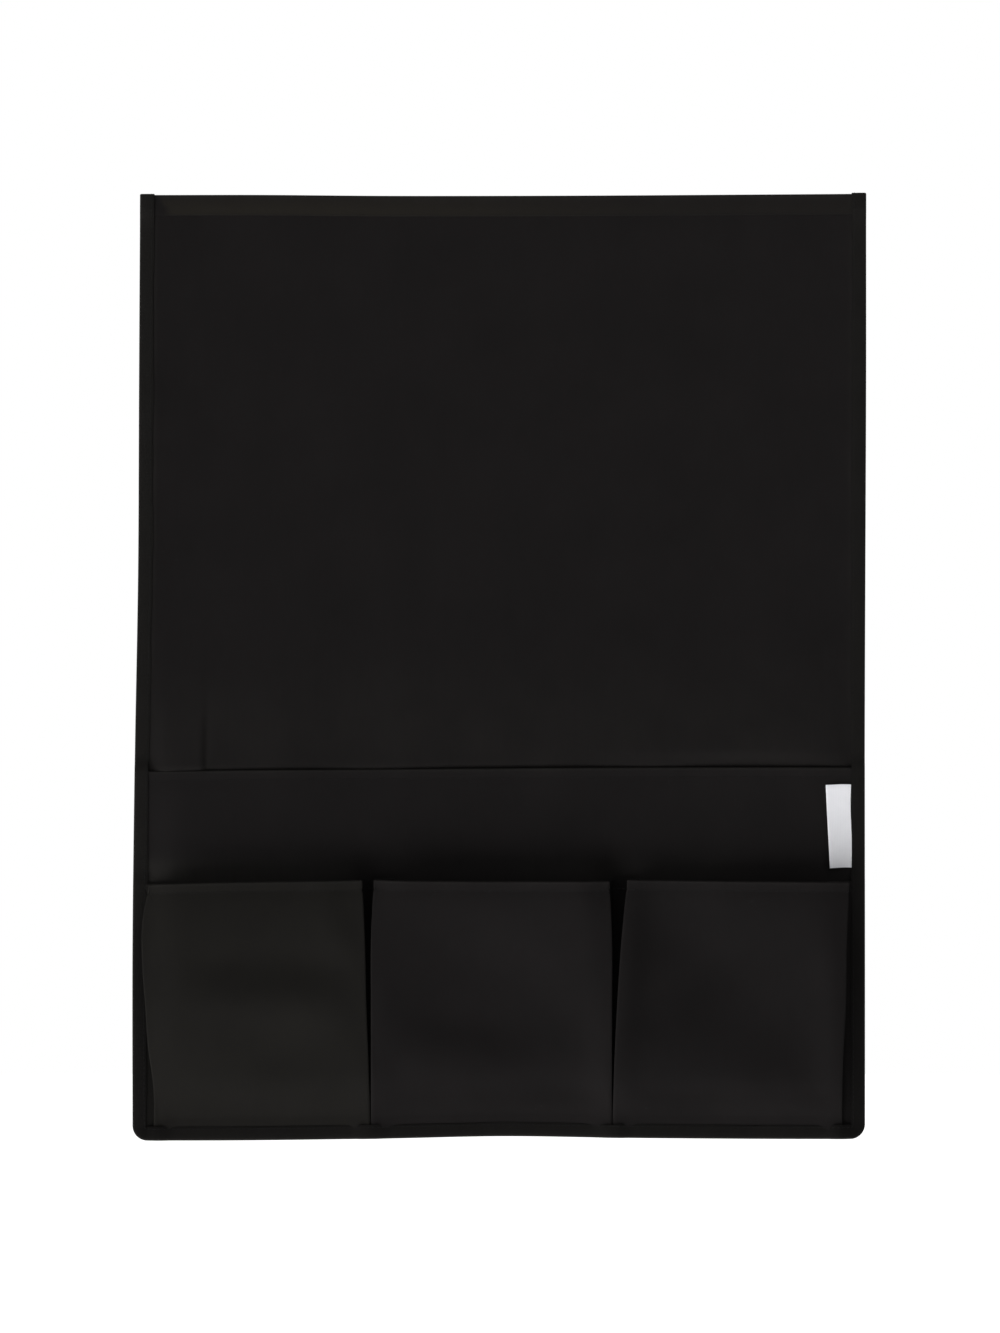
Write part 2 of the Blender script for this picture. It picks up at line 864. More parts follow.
class RunningStitch:
    """Lays stitches along lines, with a tree of geometry nodes."""

    def __init__(self, finishes: CaddyFinishes) -> None:
        """Builds the tree once.

        Args:
            finishes: The caddy's finishes, for the thread's material.
        """
        self.finishes = finishes
        self.stitch = Stitch()
        self.tree = self._tree()

    def _tree(self) -> NodeTree:
        """Builds the tree: a stitch at every step of each line, lying flat on the cloth.

        Returns:
            The tree.
        """
        tree = bpy.data.node_groups.new("running stitch", "GeometryNodeTree")
        face = tree.interface
        face.new_socket("Lines", in_out="INPUT", socket_type="NodeSocketGeometry")
        sizes = {
            "Stitch Length": self.stitch.length,
            "Stitch Gap": self.stitch.gap,
            "Thread Width": self.stitch.width,
            "Thread Height": self.stitch.height,
        }
        for label, value in sizes.items():
            face.new_socket(label, in_out="INPUT", socket_type="NodeSocketFloat").default_value = value
        face.new_socket("Seed", in_out="INPUT", socket_type="NodeSocketInt")
        face.new_socket("Thread", in_out="INPUT", socket_type="NodeSocketMaterial")
        face.new_socket("Stitches", in_out="OUTPUT", socket_type="NodeSocketGeometry")
        bench = NodeBench(tree)
        given = bench.add("NodeGroupInput").outputs
        made = bench.add("NodeGroupOutput")
        evenly = bench.add("GeometryNodeResampleCurve", mode="LENGTH")
        curve = bench.add("GeometryNodeMeshToCurve", given["Lines"]).outputs[0]
        step = bench.math("ADD", given["Stitch Length"], given["Stitch Gap"])
        bench.feed_all(evenly.inputs, {"Curve": curve, "Length": step})
        places = bench.add("GeometryNodeCurveToPoints", evenly.outputs[0], mode="EVALUATED").outputs
        drawn = bench.add("FunctionNodeRandomValue", data_type="FLOAT")
        bench.feed(drawn.inputs["Seed"], given["Seed"])
        tone = next(socket for socket in drawn.outputs if socket.type == "VALUE" and socket.enabled)
        store = "GeometryNodeStoreNamedAttribute"
        toned = bench.add(store, places["Points"], data_type="FLOAT", domain="POINT")
        bench.feed_all(toned.inputs, {"Name": "yarn_tone", "Value": tone})
        outward = bench.add("GeometryNodeInputNamedAttribute", "outward", data_type="FLOAT_VECTOR").outputs[0]
        turn = "FunctionNodeAlignRotationToVector"
        along = bench.add(turn, None, None, places["Tangent"], axis="X").outputs[0]
        flat = bench.add(turn, along, None, outward, axis="Z", pivot_axis="X").outputs[0]
        body = bench.add("GeometryNodeMeshUVSphere", self.stitch.sides, self.stitch.rings, 1.0).outputs[0]
        halves = [bench.math("MULTIPLY", given[label], 0.5) for label in sizes if label != "Stitch Gap"]
        size = bench.add("ShaderNodeCombineXYZ", *halves).outputs[0]
        laid = bench.add("GeometryNodeInstanceOnPoints")
        at_places = {"Points": toned.outputs[0], "Instance": body, "Rotation": flat, "Scale": size}
        bench.feed_all(laid.inputs, at_places)
        real = bench.add("GeometryNodeRealizeInstances", laid.outputs[0])
        rounded = bench.add("GeometryNodeSetShadeSmooth", real.outputs[0])
        finished = bench.add("GeometryNodeSetMaterial", rounded.outputs[0])
        bench.feed(finished.inputs["Material"], given["Thread"])
        bench.feed(made.inputs[0], finished.outputs[0])
        return tree

    def sew(self, name: str, lines: Sequence[StitchLine], seed: int) -> Object:
        """Lays stitches along lines and gives them as one plain mesh.

        Args:
            name: The piece's name.
            lines: The lines.
            seed: What the thread's change of tone starts from.

        Returns:
            The stitches.
        """
        points = np.concatenate([LIE.settle(line.points) for line in lines])
        outward = np.concatenate([line.outward for line in lines])
        edges, first = [], 0
        for line in lines:
            edges += [(first + step, first + step + 1) for step in range(len(line.points) - 1)]
            first += len(line.points)
        mesh = bpy.data.meshes.new(name)
        mesh.from_pydata(points.tolist(), edges, [])
        mesh.attributes.new("outward", "FLOAT_VECTOR", "POINT").data.foreach_set(
            "vector", outward.astype(np.float32).ravel()
        )
        made = bpy.data.objects.new(name, mesh)
        bpy.context.scene.collection.objects.link(made)
        modifier = made.modifiers.new("stitches", "NODES")
        modifier.node_group = self.tree
        inputs = [item for item in self.tree.interface.items_tree if item.in_out == "INPUT"]
        known = {item.name: item.identifier for item in inputs}
        modifier[known["Seed"]] = seed
        modifier[known["Thread"]] = self.finishes.thread.material(self.finishes.effects)
        apply_modifiers(made)
        log.info("%s: %d faces", name, len(made.data.polygons))
        return made


# The cloth's pieces


def lower_edge(x: Array) -> Array:
    """Height of the cloth's lower edge, which is rounded at both corners.

    Args:
        x: Places across.

    Returns:
        The heights.
    """
    radius = SIZES.corner_radius - SIZES.tape - SIZES.ply_gap
    past = np.clip(np.abs(x) - (SIZES.cloth_edge - radius), 0.0, radius)
    return SIZES.cloth_bottom + radius - np.sqrt(radius**2 - past**2)


def above_lower_edge(x: Array, z: Array) -> Array:
    """Presses the lowest heights of a grid up to the cloth's rounded lower edge.

    Args:
        x: The grid's places across.
        z: Its heights.

    Returns:
        The heights, changed only near the lower edge.
    """
    lowest = lower_edge(x)
    reach = 0.02
    share = np.clip((z - SIZES.cloth_bottom) / reach, 0.0, 1.0)
    return np.where(share < 1.0, lowest + share * (SIZES.cloth_bottom + reach - lowest), z)


def mouth_sway(x: Array) -> Array:
    """How far the magazine pocket's mouth lies above its plain height, below zero where it hangs lower."""
    return through(LIE.mouth, (x + SIZES.edge) / SIZES.width)


def magazine_depth(x: Array, z: Array) -> Array:
    """How far forward the magazine pocket's front stands: most over its middle, and little at its mouth.

    Args:
        x: Places across.
        z: Heights.

    Returns:
        The depths before the back face.
    """
    held, held_less_right = 0.86, 0.14
    between, held_above = (-0.19, 0.05), -0.262
    from_side = SIZES.binding_edge - np.abs(x)
    from_bottom = z - SIZES.bottom - SIZES.binding
    rise = ease(from_side, 0.0, SIZES.magazine_side_ramp) * ease(from_bottom, 0.0, SIZES.magazine_bottom_ramp)
    slack = 1.0 - (held - held_less_right * ease(x, *between)) * ease(z, held_above, SIZES.magazine_mouth)
    return SIZES.magazine_front + SIZES.magazine_lift * rise * slack


@dataclass(frozen=True)
class HemRows:
    """The rows of a sheet whose top edge is turned over.

    Heights run from the lowest row over the edge and down to the hem's free edge, and steps say how far each
    row lies from the sheet in plies. Seam marks the line of stitches and fold the turned edge.
    """

    heights: Array
    steps: Array
    seam: Array
    fold: Array
    stitch_row: int

    @classmethod
    def turned(cls, straight: Array, edge: float, hem: float) -> "HemRows":
        """Rows up to an edge, over it and down again.

        Args:
            straight: The heights below the hem.
            edge: The height of the turned edge.
            hem: How far it is turned over.

        Returns:
            The rows.
        """
        stitch_inset, clear_of_stitch, clear_of_turn = 0.0012, 0.0038, 0.0006
        beside, mark_spread, turn_rows = np.array([0.0006, 0.0013, 0.0024]), 0.0011, 9
        stitch = edge - hem + stitch_inset
        line = stitch + np.concatenate([-beside[::-1], [0.0], beside])
        turn = SIZES.ply_step / 2
        centre = edge - SIZES.cloth / 2 - turn
        rest = np.linspace(stitch + clear_of_stitch, centre - clear_of_turn, 3)
        angles = np.linspace(0.0, math.pi, turn_rows)
        down = np.concatenate([rest[::-1], line[:1:-1]])
        heights = np.concatenate([straight, line, rest, centre + turn * np.sin(angles), down])
        flat_steps = np.zeros(len(straight) + len(line) + len(rest))
        steps = np.concatenate([flat_steps, (1 - np.cos(angles)) / 2, np.ones(len(down))])
        seam, fold = bump(heights, stitch, mark_spread), bump(heights, edge, mark_spread)
        return cls(heights, steps, seam, fold, len(straight) + len(beside))


@dataclass(frozen=True)
class BackCloth:
    """The back cloth, one sheet from the bottom edge up to the hem that is turned to the front.

    A pair of heights or distances says where a form has faded out and where it is whole. Pairs named heights,
    the lip and the roll's under and over count from the magazine pocket's mouth up, and each of the lip's
    gives one height and what is added to it left of the crease.
    """

    name: str = "back_cloth"
    side_columns: Floats = (0.2308, 0.2285, 0.2260, 0.2237, 0.2222, 0.2195)
    even_columns: tuple[float, int] = (0.2165, 88)
    crease_columns: Floats = (0.0010, 0.0022, 0.0036, 0.0055)
    crease_clear: float = 0.0075
    low_rows: Floats = (0.0, 0.003, 0.0065, 0.0095)
    low_clear: float = 0.0145
    mouth_reach: float = 0.006
    fold_reach: float = 0.018
    hem_clear: float = 0.016
    row_steps: Floats = (0.006, 0.0022, 0.0018, 0.006)
    tucked: float = 0.0019
    tucked_heights: Pair = (0.100, 0.005)
    tucked_sides: Pair = (0.2225, 0.213)
    lip_low: Pair = (-0.0014, 0.0005)
    lip_high: Pair = (0.0022, -0.0018)
    crease: float = 0.0012
    crease_place: float = -0.1872
    crease_slope: Pair = (0.0016, -0.0024)
    crease_heights: Pair = (0.070, 0.010)
    pinch: float = 0.0010
    pinch_spread: float = 0.0015
    pinch_heights: Pair = (0.055, 0.025)
    roll: float = 0.0026
    roll_under: Pair = (0.0022, 0.0105)
    roll_over: Pair = (0.065, 0.0105)
    roll_left: Pair = (0.035, 0.10)
    roll_right: Pair = (0.222, 0.205)
    roll_wave: Wave = Wave(55.0, height=0.25)
    waviness: float = 0.00028
    waves: tuple[Wave, Wave, Wave] = (
        Wave(47.0, 13.0, 0.4),
        Wave(0.0, 39.0, 1.1),
        Wave(83.0, -61.0, height=0.6),
    )
    waves_inside: float = 0.03
    waves_below_hem: Pair = (0.014, 0.05)
    pressed: float = 0.00015
    pressed_until: Pair = (0.0150, 0.0095)
    eased: float = 0.00018
    eased_from: Pair = (0.0086, 0.0098)
    eased_until: Pair = (0.024, 0.0100)
    eased_heights: Pair = (0.006, 0.020)
    handled: float = 0.3
    handled_heights: Pair = (0.090, 0.020)
    edge_wear: float = 0.35
    edge_wear_place: Pair = (0.0096, 0.0008)
    groove: float = 0.00022
    reversed_steps: Pair = (0.4, 0.9)

    def columns(self) -> Array:
        """Places of the grid's columns, closer together beside the binding and at the crease.

        Returns:
            The places across the caddy, from left to right.
        """
        side, reach = np.array(self.side_columns), self.even_columns[0]
        even = np.linspace(-reach, reach, self.even_columns[1])
        apart = even[np.abs(even - self.crease_place) > self.crease_clear]
        beside = np.array(self.crease_columns)
        close = self.crease_place + np.concatenate([-beside[::-1], [0.0], beside])
        return np.concatenate([-side, np.sort(np.concatenate([apart, close])), side[::-1]])

    def rows(self) -> HemRows:
        """Rows of the grid, closer together at the fold and over the magazine pocket's mouth.

        Returns:
            The rows.
        """
        stops = (
            SIZES.bottom + self.low_clear,
            SIZES.magazine_mouth - self.mouth_reach,
            SIZES.fold - self.fold_reach,
            SIZES.fold + self.fold_reach,
            SIZES.top - self.hem_clear,
        )
        low = SIZES.cloth_bottom + np.array(self.low_rows)
        return HemRows.turned(np.concatenate([low, graded(stops, self.row_steps)]), SIZES.top, SIZES.flap_hem)

    def relief(self, x: Array, z: Array) -> Array:
        """How far the cloth stands forward of flat.

        Args:
            x: Places across.
            z: Heights.

        Returns:
            The soft crease and the low roll over the magazine pocket's mouth, and the flap's slow waves.
        """
        above = z - SIZES.magazine_mouth - mouth_sway(x)
        left = ease(x - self.crease_place, *self.crease_slope)
        lip = (start + change * left for start, change in (self.lip_low, self.lip_high))
        tucked = ease(above, *self.tucked_heights) * ease(above, *lip)
        outer, inner = self.tucked_sides
        tucked = tucked * ease(x, -outer, -inner) * ease(x, outer, inner)
        creased = left * ease(above, *self.crease_heights)
        pinched = bump(x, self.crease_place, self.pinch_spread) * ease(above, *self.pinch_heights)
        rolled = ease(above, *self.roll_under) * ease(above, *self.roll_over)
        rolled = rolled * ease(x, *self.roll_left) * ease(x, *self.roll_right)
        rolled = rolled * (1 - self.roll_wave.height + self.roll_wave.at(x, z))
        raised = self.tucked + self.crease * creased - self.pinch * pinched
        return tucked * raised + self.roll * rolled + self.waviness * self.slow_waves(x, z)

    def slow_waves(self, x: Array, z: Array) -> Array:
        """The flap's slow waves, which die out at its hem, at the binding and at the fold.

        Args:
            x: Places across.
            z: Heights.

        Returns:
            The waves, about 1 high.
        """
        first, second, third = (wave.at(x, z) for wave in self.waves)
        inside = ease(SIZES.binding_edge - np.abs(x), 0.0, self.waves_inside)
        near, far = self.waves_below_hem
        waves = (first * second + third) * inside * ease(z, SIZES.top - near, SIZES.top - far)
        return waves * ease(z, SIZES.fold, SIZES.fold + far)

    @staticmethod
    def turned_side(x: Array, z: Array) -> Array:
        """How clearly the hem shows the cloth's other face: most on the left and beside its free edge.

        Args:
            x: Places across.
            z: Heights.

        Returns:
            The shares, from 0 to 1.
        """
        mitre_start, mitre_slope, mitre_softness = 0.0025, 0.5, 0.0015
        at_edge, edge_heights = 0.45, (0.0025, 0.0070)
        lost_right, between = 0.65, (-0.12, 0.16)
        mitre = -SIZES.binding_edge + mitre_start + mitre_slope * (SIZES.top - z)
        lower = at_edge + (1 - at_edge) * ease(SIZES.top - z, *edge_heights)
        return (1 - lost_right * ease(x, *between)) * ease(x - mitre, 0.0, mitre_softness) * lower

    def beside_binding(self, inset: Array, z: Array) -> Array:
        """How far the cloth lies under the binding's pressure, and how far it stands up again beside it.

        Args:
            inset: Distances from the caddy's outer edge.
            z: Heights.

        Returns:
            The depths.
        """
        pressed = self.pressed * ease(inset, *self.pressed_until)
        uncovered = ease(z - SIZES.magazine_mouth, *self.eased_heights)
        eased = self.eased * ease(inset, *self.eased_from) * ease(inset, *self.eased_until)
        return pressed + eased * uncovered

    def wear(self, inset: Array, z: Array) -> Array:
        """How rubbed the cloth is by hands over the magazine pocket's mouth, and along the binding."""
        handled = self.handled * ease(z - SIZES.magazine_mouth, *self.handled_heights)
        return np.maximum(handled, self.edge_wear * bump(inset, *self.edge_wear_place))

    def build(self, finishes: CaddyFinishes) -> Object:
        """Builds and dresses the sheet, bending where the caddy folds.

        Args:
            finishes: The finishes.

        Returns:
            The sheet.
        """
        rows = self.rows()
        x, z = np.meshgrid(self.columns(), rows.heights)
        steps = rows.steps[:, None]
        inset = np.minimum(SIZES.edge - np.abs(x), z - SIZES.bottom)
        depth = SIZES.cloth / 2 + steps * SIZES.ply_step + self.beside_binding(inset, z) + self.relief(x, z)
        depth = depth - self.groove * rows.seam[:, None] * (steps > 0.5)
        points = np.stack([x, -depth, above_lower_edge(x, z)], axis=-1)
        made = ClothGrid(
            points,
            seam=rows.seam[:, None],
            fold=np.maximum(rows.fold[:, None], self.wear(inset, z)),
            reverse=ease(steps, *self.reversed_steps) * self.turned_side(x, z),
        ).to_object(self.name, SIZES.cloth)
        finishes.dress(made, finishes.panel, "panel_cloth")
        across_fold(made)
        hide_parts("tuck_flap_cloth", "hanging_panel_cloth")
        return made

    def stitch_lines(self) -> list[StitchLine]:
        """The line that holds the hem.

        Returns:
            The line on the hem's front and the line on the cloth's back.
        """
        rows = self.rows()
        x = line_across()
        height = np.full_like(x, rows.heights[rows.stitch_row])
        sunk = 0.00002
        front = SIZES.cloth + SIZES.ply_step - self.groove
        return [
            StitchLine.level(np.stack([x, np.full_like(x, -depth), height], axis=-1), outward)
            for depth, outward in ((front, -1.0), (-sunk, 1.0))
        ]


def line_across(clear: float = 0.001, count: int = 120) -> Array:
    """Places of a line of stitches from one binding to the other, clear of both."""
    return np.linspace(clear - SIZES.binding_edge, SIZES.binding_edge - clear, count)


def across_fold(made: Object) -> None:
    """Lets a piece bend from the tuck flap to the hanging panel at the fold.

    Args:
        made: The piece.
    """
    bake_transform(made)


@dataclass(frozen=True)
class MagazinePocket:
    """The full-width magazine pocket, whose hem is turned to the inside.

    Handled says how rubbed the cloth is behind the pleated pockets' mouths, from left to right. A pair of
    heights over those mouths says where a mark has faded out and where it is whole.
    """

    name: str = "magazine_pocket"
    low_rows: Floats = (0.0, 0.003, 0.0065, 0.0095)
    low_clear: float = 0.0135
    hem_clear: float = 0.011
    row_step: float = 0.005
    sways_above: float = -0.26
    waves: tuple[Wave, Wave] = (Wave(38.0, start=1.0, height=0.0004), Wave(71.0, 40.0, height=0.0002))
    waves_inside: float = 0.03
    handled: Floats = (1.0, 1.0, 0.8, 0.15, 0.3, 0.5, 0.6, 0.0, 0.0)
    handled_heights: Pair = (0.020, 0.009)
    sheltered: float = 0.55
    sheltered_spread: float = 0.010
    sheltered_heights: Pair = (0.030, 0.004)
    groove: float = 0.00024

    def rows(self) -> HemRows:
        """Rows of the grid.

        Returns:
            The rows.
        """
        low = SIZES.cloth_bottom + np.array(self.low_rows)
        even = spread(SIZES.bottom + self.low_clear, SIZES.magazine_mouth - self.hem_clear, self.row_step)
        return HemRows.turned(np.concatenate([low, even]), SIZES.magazine_mouth, SIZES.mouth_hem)

    def surface(self, x: Array, z: Array) -> tuple[Array, Array]:
        """Where the sheet's front lies, and how its mouth rises and falls.

        Args:
            x: Places across.
            z: Heights on the plain sheet.

        Returns:
            The depth of its front, and the heights with the mouth's sway.
        """
        swayed = z + mouth_sway(x) * ease(z, self.sways_above, SIZES.magazine_mouth)
        slack = self.waves[0].at(x, z) + self.waves[1].at(x, z)
        inside = ease(SIZES.binding_edge - np.abs(x), 0.0, self.waves_inside)
        near = inside * ease(z, SIZES.pocket_mouth, SIZES.magazine_mouth)
        return magazine_depth(x, z) + slack * near, swayed

    def build(self, finishes: CaddyFinishes) -> Object:
        """Builds and dresses the sheet.

        Args:
            finishes: The finishes.

        Returns:
            The sheet.
        """
        rows = self.rows()
        x, z = np.meshgrid(BackCloth().columns(), rows.heights)
        front, height = self.surface(x, z)
        steps = rows.steps[:, None]
        grooved = self.groove * rows.seam[:, None] * (steps < 0.5)
        depth = front - SIZES.cloth / 2 - steps * SIZES.ply_step - grooved
        points = np.stack([x, -depth, above_lower_edge(x, height)], axis=-1)
        between = sum(bump(x, seam, self.sheltered_spread) for seam in SIZES.divider_seams)
        above = z - SIZES.pocket_mouth
        handled = through(self.handled, (x + SIZES.edge) / SIZES.width) * ease(above, *self.handled_heights)
        made = ClothGrid(
            points,
            seam=rows.seam[:, None],
            fold=np.maximum(rows.fold[:, None], handled),
            sheltered=self.sheltered * between * ease(above, *self.sheltered_heights),
        ).to_object(self.name, SIZES.cloth)
        finishes.dress(made, finishes.magazine, "panel_cloth")
        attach(made, "hanging_panel")
        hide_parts("magazine_pocket_panel")
        return made

    def stitch_lines(self) -> list[StitchLine]:
        """The line that holds the hem, on the pocket's front.

        Returns:
            The one line.
        """
        rows = self.rows()
        x = line_across()
        front, height = self.surface(x, np.full_like(x, rows.heights[rows.stitch_row]))
        return [StitchLine.level(np.stack([x, -(front - self.groove), height], axis=-1), -1.0)]


@dataclass(frozen=True)
class SoftFold:
    """A soft ridge, or a valley where its rise is below zero, along a line on a pocket's face.

    The ends are given as shares across and up the face, the rest in metres.
    """

    start: Pair
    end: Pair
    rise: float
    reach: float
    face: Pair = (0.145, 0.154)

    def height(self, across: Array, up: Array) -> Array:
        """How far the fold lifts the face.

        Args:
            across: Shares across the face.
            up: Shares up the face.

        Returns:
            The lift at each place.
        """
        size = np.array(self.face)
        first, last = np.array(self.start) * size, np.array(self.end) * size
        line = last - first
        place = np.stack([across * size[0], up * size[1]], axis=-1) - first
        share = np.clip((place @ line) / (line @ line), 0.0, 1.0)
        away = np.linalg.norm(place - share[..., None] * line, axis=-1)
        return self.rise * np.exp(-0.5 * (away / self.reach) ** 2)


@dataclass(frozen=True)
class Leaves:
    """The two leaves of one pleat, from the flange in its seam to the face's side edge.

    Places across and depths are rows by columns. The face's edge and the crease are given again,
    one value for each row, since the face lies over the leaf between them.
    """

    x: Array
    depth: Array
    edge_x: Array
    crease_x: Array
    edge_depth: Array
    crease_depth: Array


@dataclass(frozen=True)
class PleatedPocket:
    """One pleated pocket: a face between two pleats, all of one piece of cloth.

    Seams are where its pleats are sewn down, lines are what its side edges are measured from, and insets
    say how far in each side edge stands, from the bottom seam up to the mouth. The mouth's shifts are given
    from left to right. Opening says how soon the face stands off above its seam, and slack how far it sags
    forward there; belly is how far its middle stands out. Pairs named up, across or over are shares, from
    where a form has not begun to where it is whole.
    """

    name: str
    seams: Pair
    lines: Pair
    insets: tuple[Floats, Floats]
    mouth: Floats
    folds: tuple[SoftFold, ...]
    phase: float
    opening: float = 2.0
    slack: float = 0.0
    belly: float = SIZES.pocket_belly
    bound: tuple[bool, bool] = (False, False)
    low_rows: Floats = (0.0, 0.0035, 0.0065)
    seam_rows: float = 0.03
    hem_clear: float = 0.011
    row_steps: Pair = (0.0022, 0.0036)
    face_columns: int = 48
    leaf_columns: int = 10
    flange_columns: int = 3
    closer_at_edges: float = 0.13
    groove: float = 0.00032
    puff: float = 0.0007
    puff_place: Pair = (0.0012, 0.0016)
    flare: float = 0.0014
    flare_up: Pair = (0.94, 1.05)
    slack_up: tuple[float, float, float] = (0.0, 0.12, 0.5)
    low_leaf: float = 0.0058
    leaf_up: Pair = (0.0, 0.22)
    seam_parts: float = 0.0011
    seam_parts_up: Pair = (0.8, 1.0)
    crease_between: Pair = (0.12, 0.4)
    flange: float = 0.0085
    tuck: float = 0.0002
    pleated_across: Pair = (0.045, 0.11)
    least_room: float = 0.0012
    over_leaf: Pair = (0.0, 0.2)
    leaf_falls: float = 0.012
    relief_in: float = 0.14
    unevenness: Pair = (0.0004, 0.0002)
    edge_wear: float = 0.12
    edge_wear_columns: float = 0.9
    sheltered: Pair = (0.35, 0.85)
    sheltered_columns: Pair = (1.0, 3.5)

    @property
    def body(self) -> str:
        """The body that the face turns with."""
        return f"pocket_{self.name}"

    @property
    def tall(self) -> float:
        """The face's height, from its bottom seam to its mouth."""
        return SIZES.pocket_mouth - SIZES.pocket_seam

    @property
    def side_count(self) -> int:
        """How many columns lie beside the face on each side, in the flange and the two leaves."""
        return self.flange_columns + 2 * self.leaf_columns

    def rows(self) -> HemRows:
        """Rows of the grid, on a pocket whose mouth is level.

        Returns:
            The rows.
        """
        seam = SIZES.pocket_seam
        low = SIZES.cloth_bottom + np.array(self.low_rows)
        stops = (seam, seam + self.seam_rows, SIZES.pocket_mouth - self.hem_clear)
        straight = np.concatenate([low, graded(stops, self.row_steps)])
        return HemRows.turned(straight, SIZES.pocket_mouth, SIZES.mouth_hem)

    def side_edge(self, side: int, up: Array) -> Array:
        """Where the face's left (0) or right (1) side edge lies."""
        inset = through(self.insets[side], up)
        return self.lines[side] + (-inset if side else inset)

    def room(self, up: Array) -> Array:
        """The room between the magazine pocket and the face: quickly open above the seam, upright higher.

        Args:
            up: Shares up the face.

        Returns:
            The room at each share.
        """
        share = np.clip(up, 0.0, 1.0)
        seam, whole, gone = self.slack_up
        sag = self.slack * ease(share, seam, whole) * ease(share, gone, whole)
        opened = (SIZES.pocket_depth - SIZES.ply_gap) * (1 - (1 - share) ** self.opening)
        return SIZES.ply_gap + opened + sag + self.flare * ease(up, *self.flare_up)

    def edge_room(self, up: Array) -> Array:
        """The room under the face's side edges, where both leaves of a pleat lie, even pressed flat."""
        return np.hypot(self.room(up), 2 * SIZES.ply_step)

    def leaves(self, side: int, up: Array, z: Array) -> Leaves:
        """The pleat on one side: a flange in the seam, a leaf to the crease and a leaf to the face.

        Args:
            side: 0 for the left pleat and 1 for the right one.
            up: Shares up the face, one for each row.
            z: The rows' heights.

        Returns:
            The pleat's leaves.
        """
        half_cloth = SIZES.cloth / 2
        leaf = self.low_leaf + (SIZES.pleat_leaf - self.low_leaf) * ease(up, *self.leaf_up)
        inward = -1.0 if side else 1.0
        seam_x = np.full_like(up, self.seams[side])
        seam_depth = magazine_depth(seam_x, z) + SIZES.ply_gap + half_cloth
        seam_depth = seam_depth + self.seam_parts * ease(up, *self.seam_parts_up)
        face_x = self.side_edge(side, up)
        face_depth = magazine_depth(face_x, z) + self.edge_room(up) + half_cloth
        span_x, span_depth = face_x - seam_x, face_depth - seam_depth
        span = np.hypot(span_x, span_depth)
        reach = np.sqrt(np.maximum(leaf**2 - (span / 2) ** 2, 0.0))
        crease_depth = (seam_depth + face_depth) / 2 - inward * span_x / span * reach
        between = (seam_depth + part * span_depth for part in self.crease_between)
        crease_depth = np.clip(crease_depth, *between)
        crease_x = seam_x + inward * np.sqrt(np.maximum(leaf**2 - (crease_depth - seam_depth) ** 2, 0.0))
        outer_part = self.flange if self.bound[side] else self.tuck
        flange_x = np.full_like(up, self.seams[side] - inward * outer_part)
        flange_depth = np.where(self.bound[side], SIZES.strip_front - half_cloth, seam_depth - self.tuck)
        corners_x = (flange_x, seam_x, crease_x, face_x)
        corners_depth = (flange_depth, seam_depth, crease_depth, face_depth)
        counts = (self.flange_columns, self.leaf_columns, self.leaf_columns)
        x, depth = (self.between_corners(corners, counts) for corners in (corners_x, corners_depth))
        return Leaves(x, depth, *(part[:, None] for part in (face_x, crease_x, face_depth, crease_depth)))

    @staticmethod
    def between_corners(corners: Sequence[Array], counts: Sequence[int]) -> Array:
        """Columns from corner to corner, closer together at each corner.

        Args:
            corners: The corners' values, one for each row.
            counts: How many columns start at each corner but the last.

        Returns:
            The values, rows by columns, without the last corner.
        """
        columns = []
        for count, first, last in zip(counts, corners, corners[1:]):
            share = 0.5 - 0.5 * np.cos(math.pi * np.arange(count) / count)[None, :]
            columns.append(first[:, None] * (1 - share) + last[:, None] * share)
        return np.concatenate(columns, axis=1)

    def face(self, up: Array, z: Array, pleats: Sequence[Leaves]) -> tuple[Array, Array]:
        """The face's middle line across each height, resting on its pleats.

        Args:
            up: Shares up the face, one for each row.
            z: The rows' heights.
            pleats: The pleats on its left and right.

        Returns:
            Places across and depths before the back face, rows by columns.
        """
        even = np.linspace(0.0, 1.0, self.face_columns)
        across = even - self.closer_at_edges * np.sin(2 * math.pi * even)
        left, right = (self.side_edge(side, up)[:, None] for side in (0, 1))
        x = left + (right - left) * across
        height = np.broadcast_to(z[:, None], x.shape)
        pleated = 1 - ease(np.minimum(across, 1 - across), *self.pleated_across)[None, :]
        room = self.room(up)[:, None] * (1 - pleated) + self.edge_room(up)[:, None] * pleated
        relief = room + self.face_relief(across[None, :], up[:, None])
        relief = np.maximum(relief, np.minimum(room, self.least_room))
        depth = magazine_depth(x, height) + SIZES.cloth / 2 + relief
        puff_height, puff_spread = self.puff_place
        depth = depth + self.puff * bump(height, SIZES.pocket_seam + puff_height, puff_spread) * (1 - pleated)
        for pleat in pleats:
            share = (x - pleat.edge_x) / (pleat.crease_x - pleat.edge_x)
            beyond = np.clip((x - pleat.crease_x) / (pleat.crease_x - pleat.edge_x), 0.0, None)
            share = np.clip(share, 0.0, 1.0)
            leaf = pleat.edge_depth + (pleat.crease_depth - pleat.edge_depth) * share
            leaf = leaf - self.leaf_falls * beyond
            depth = np.maximum(depth, leaf + SIZES.ply_step * ease(share, *self.over_leaf))
        return x, depth

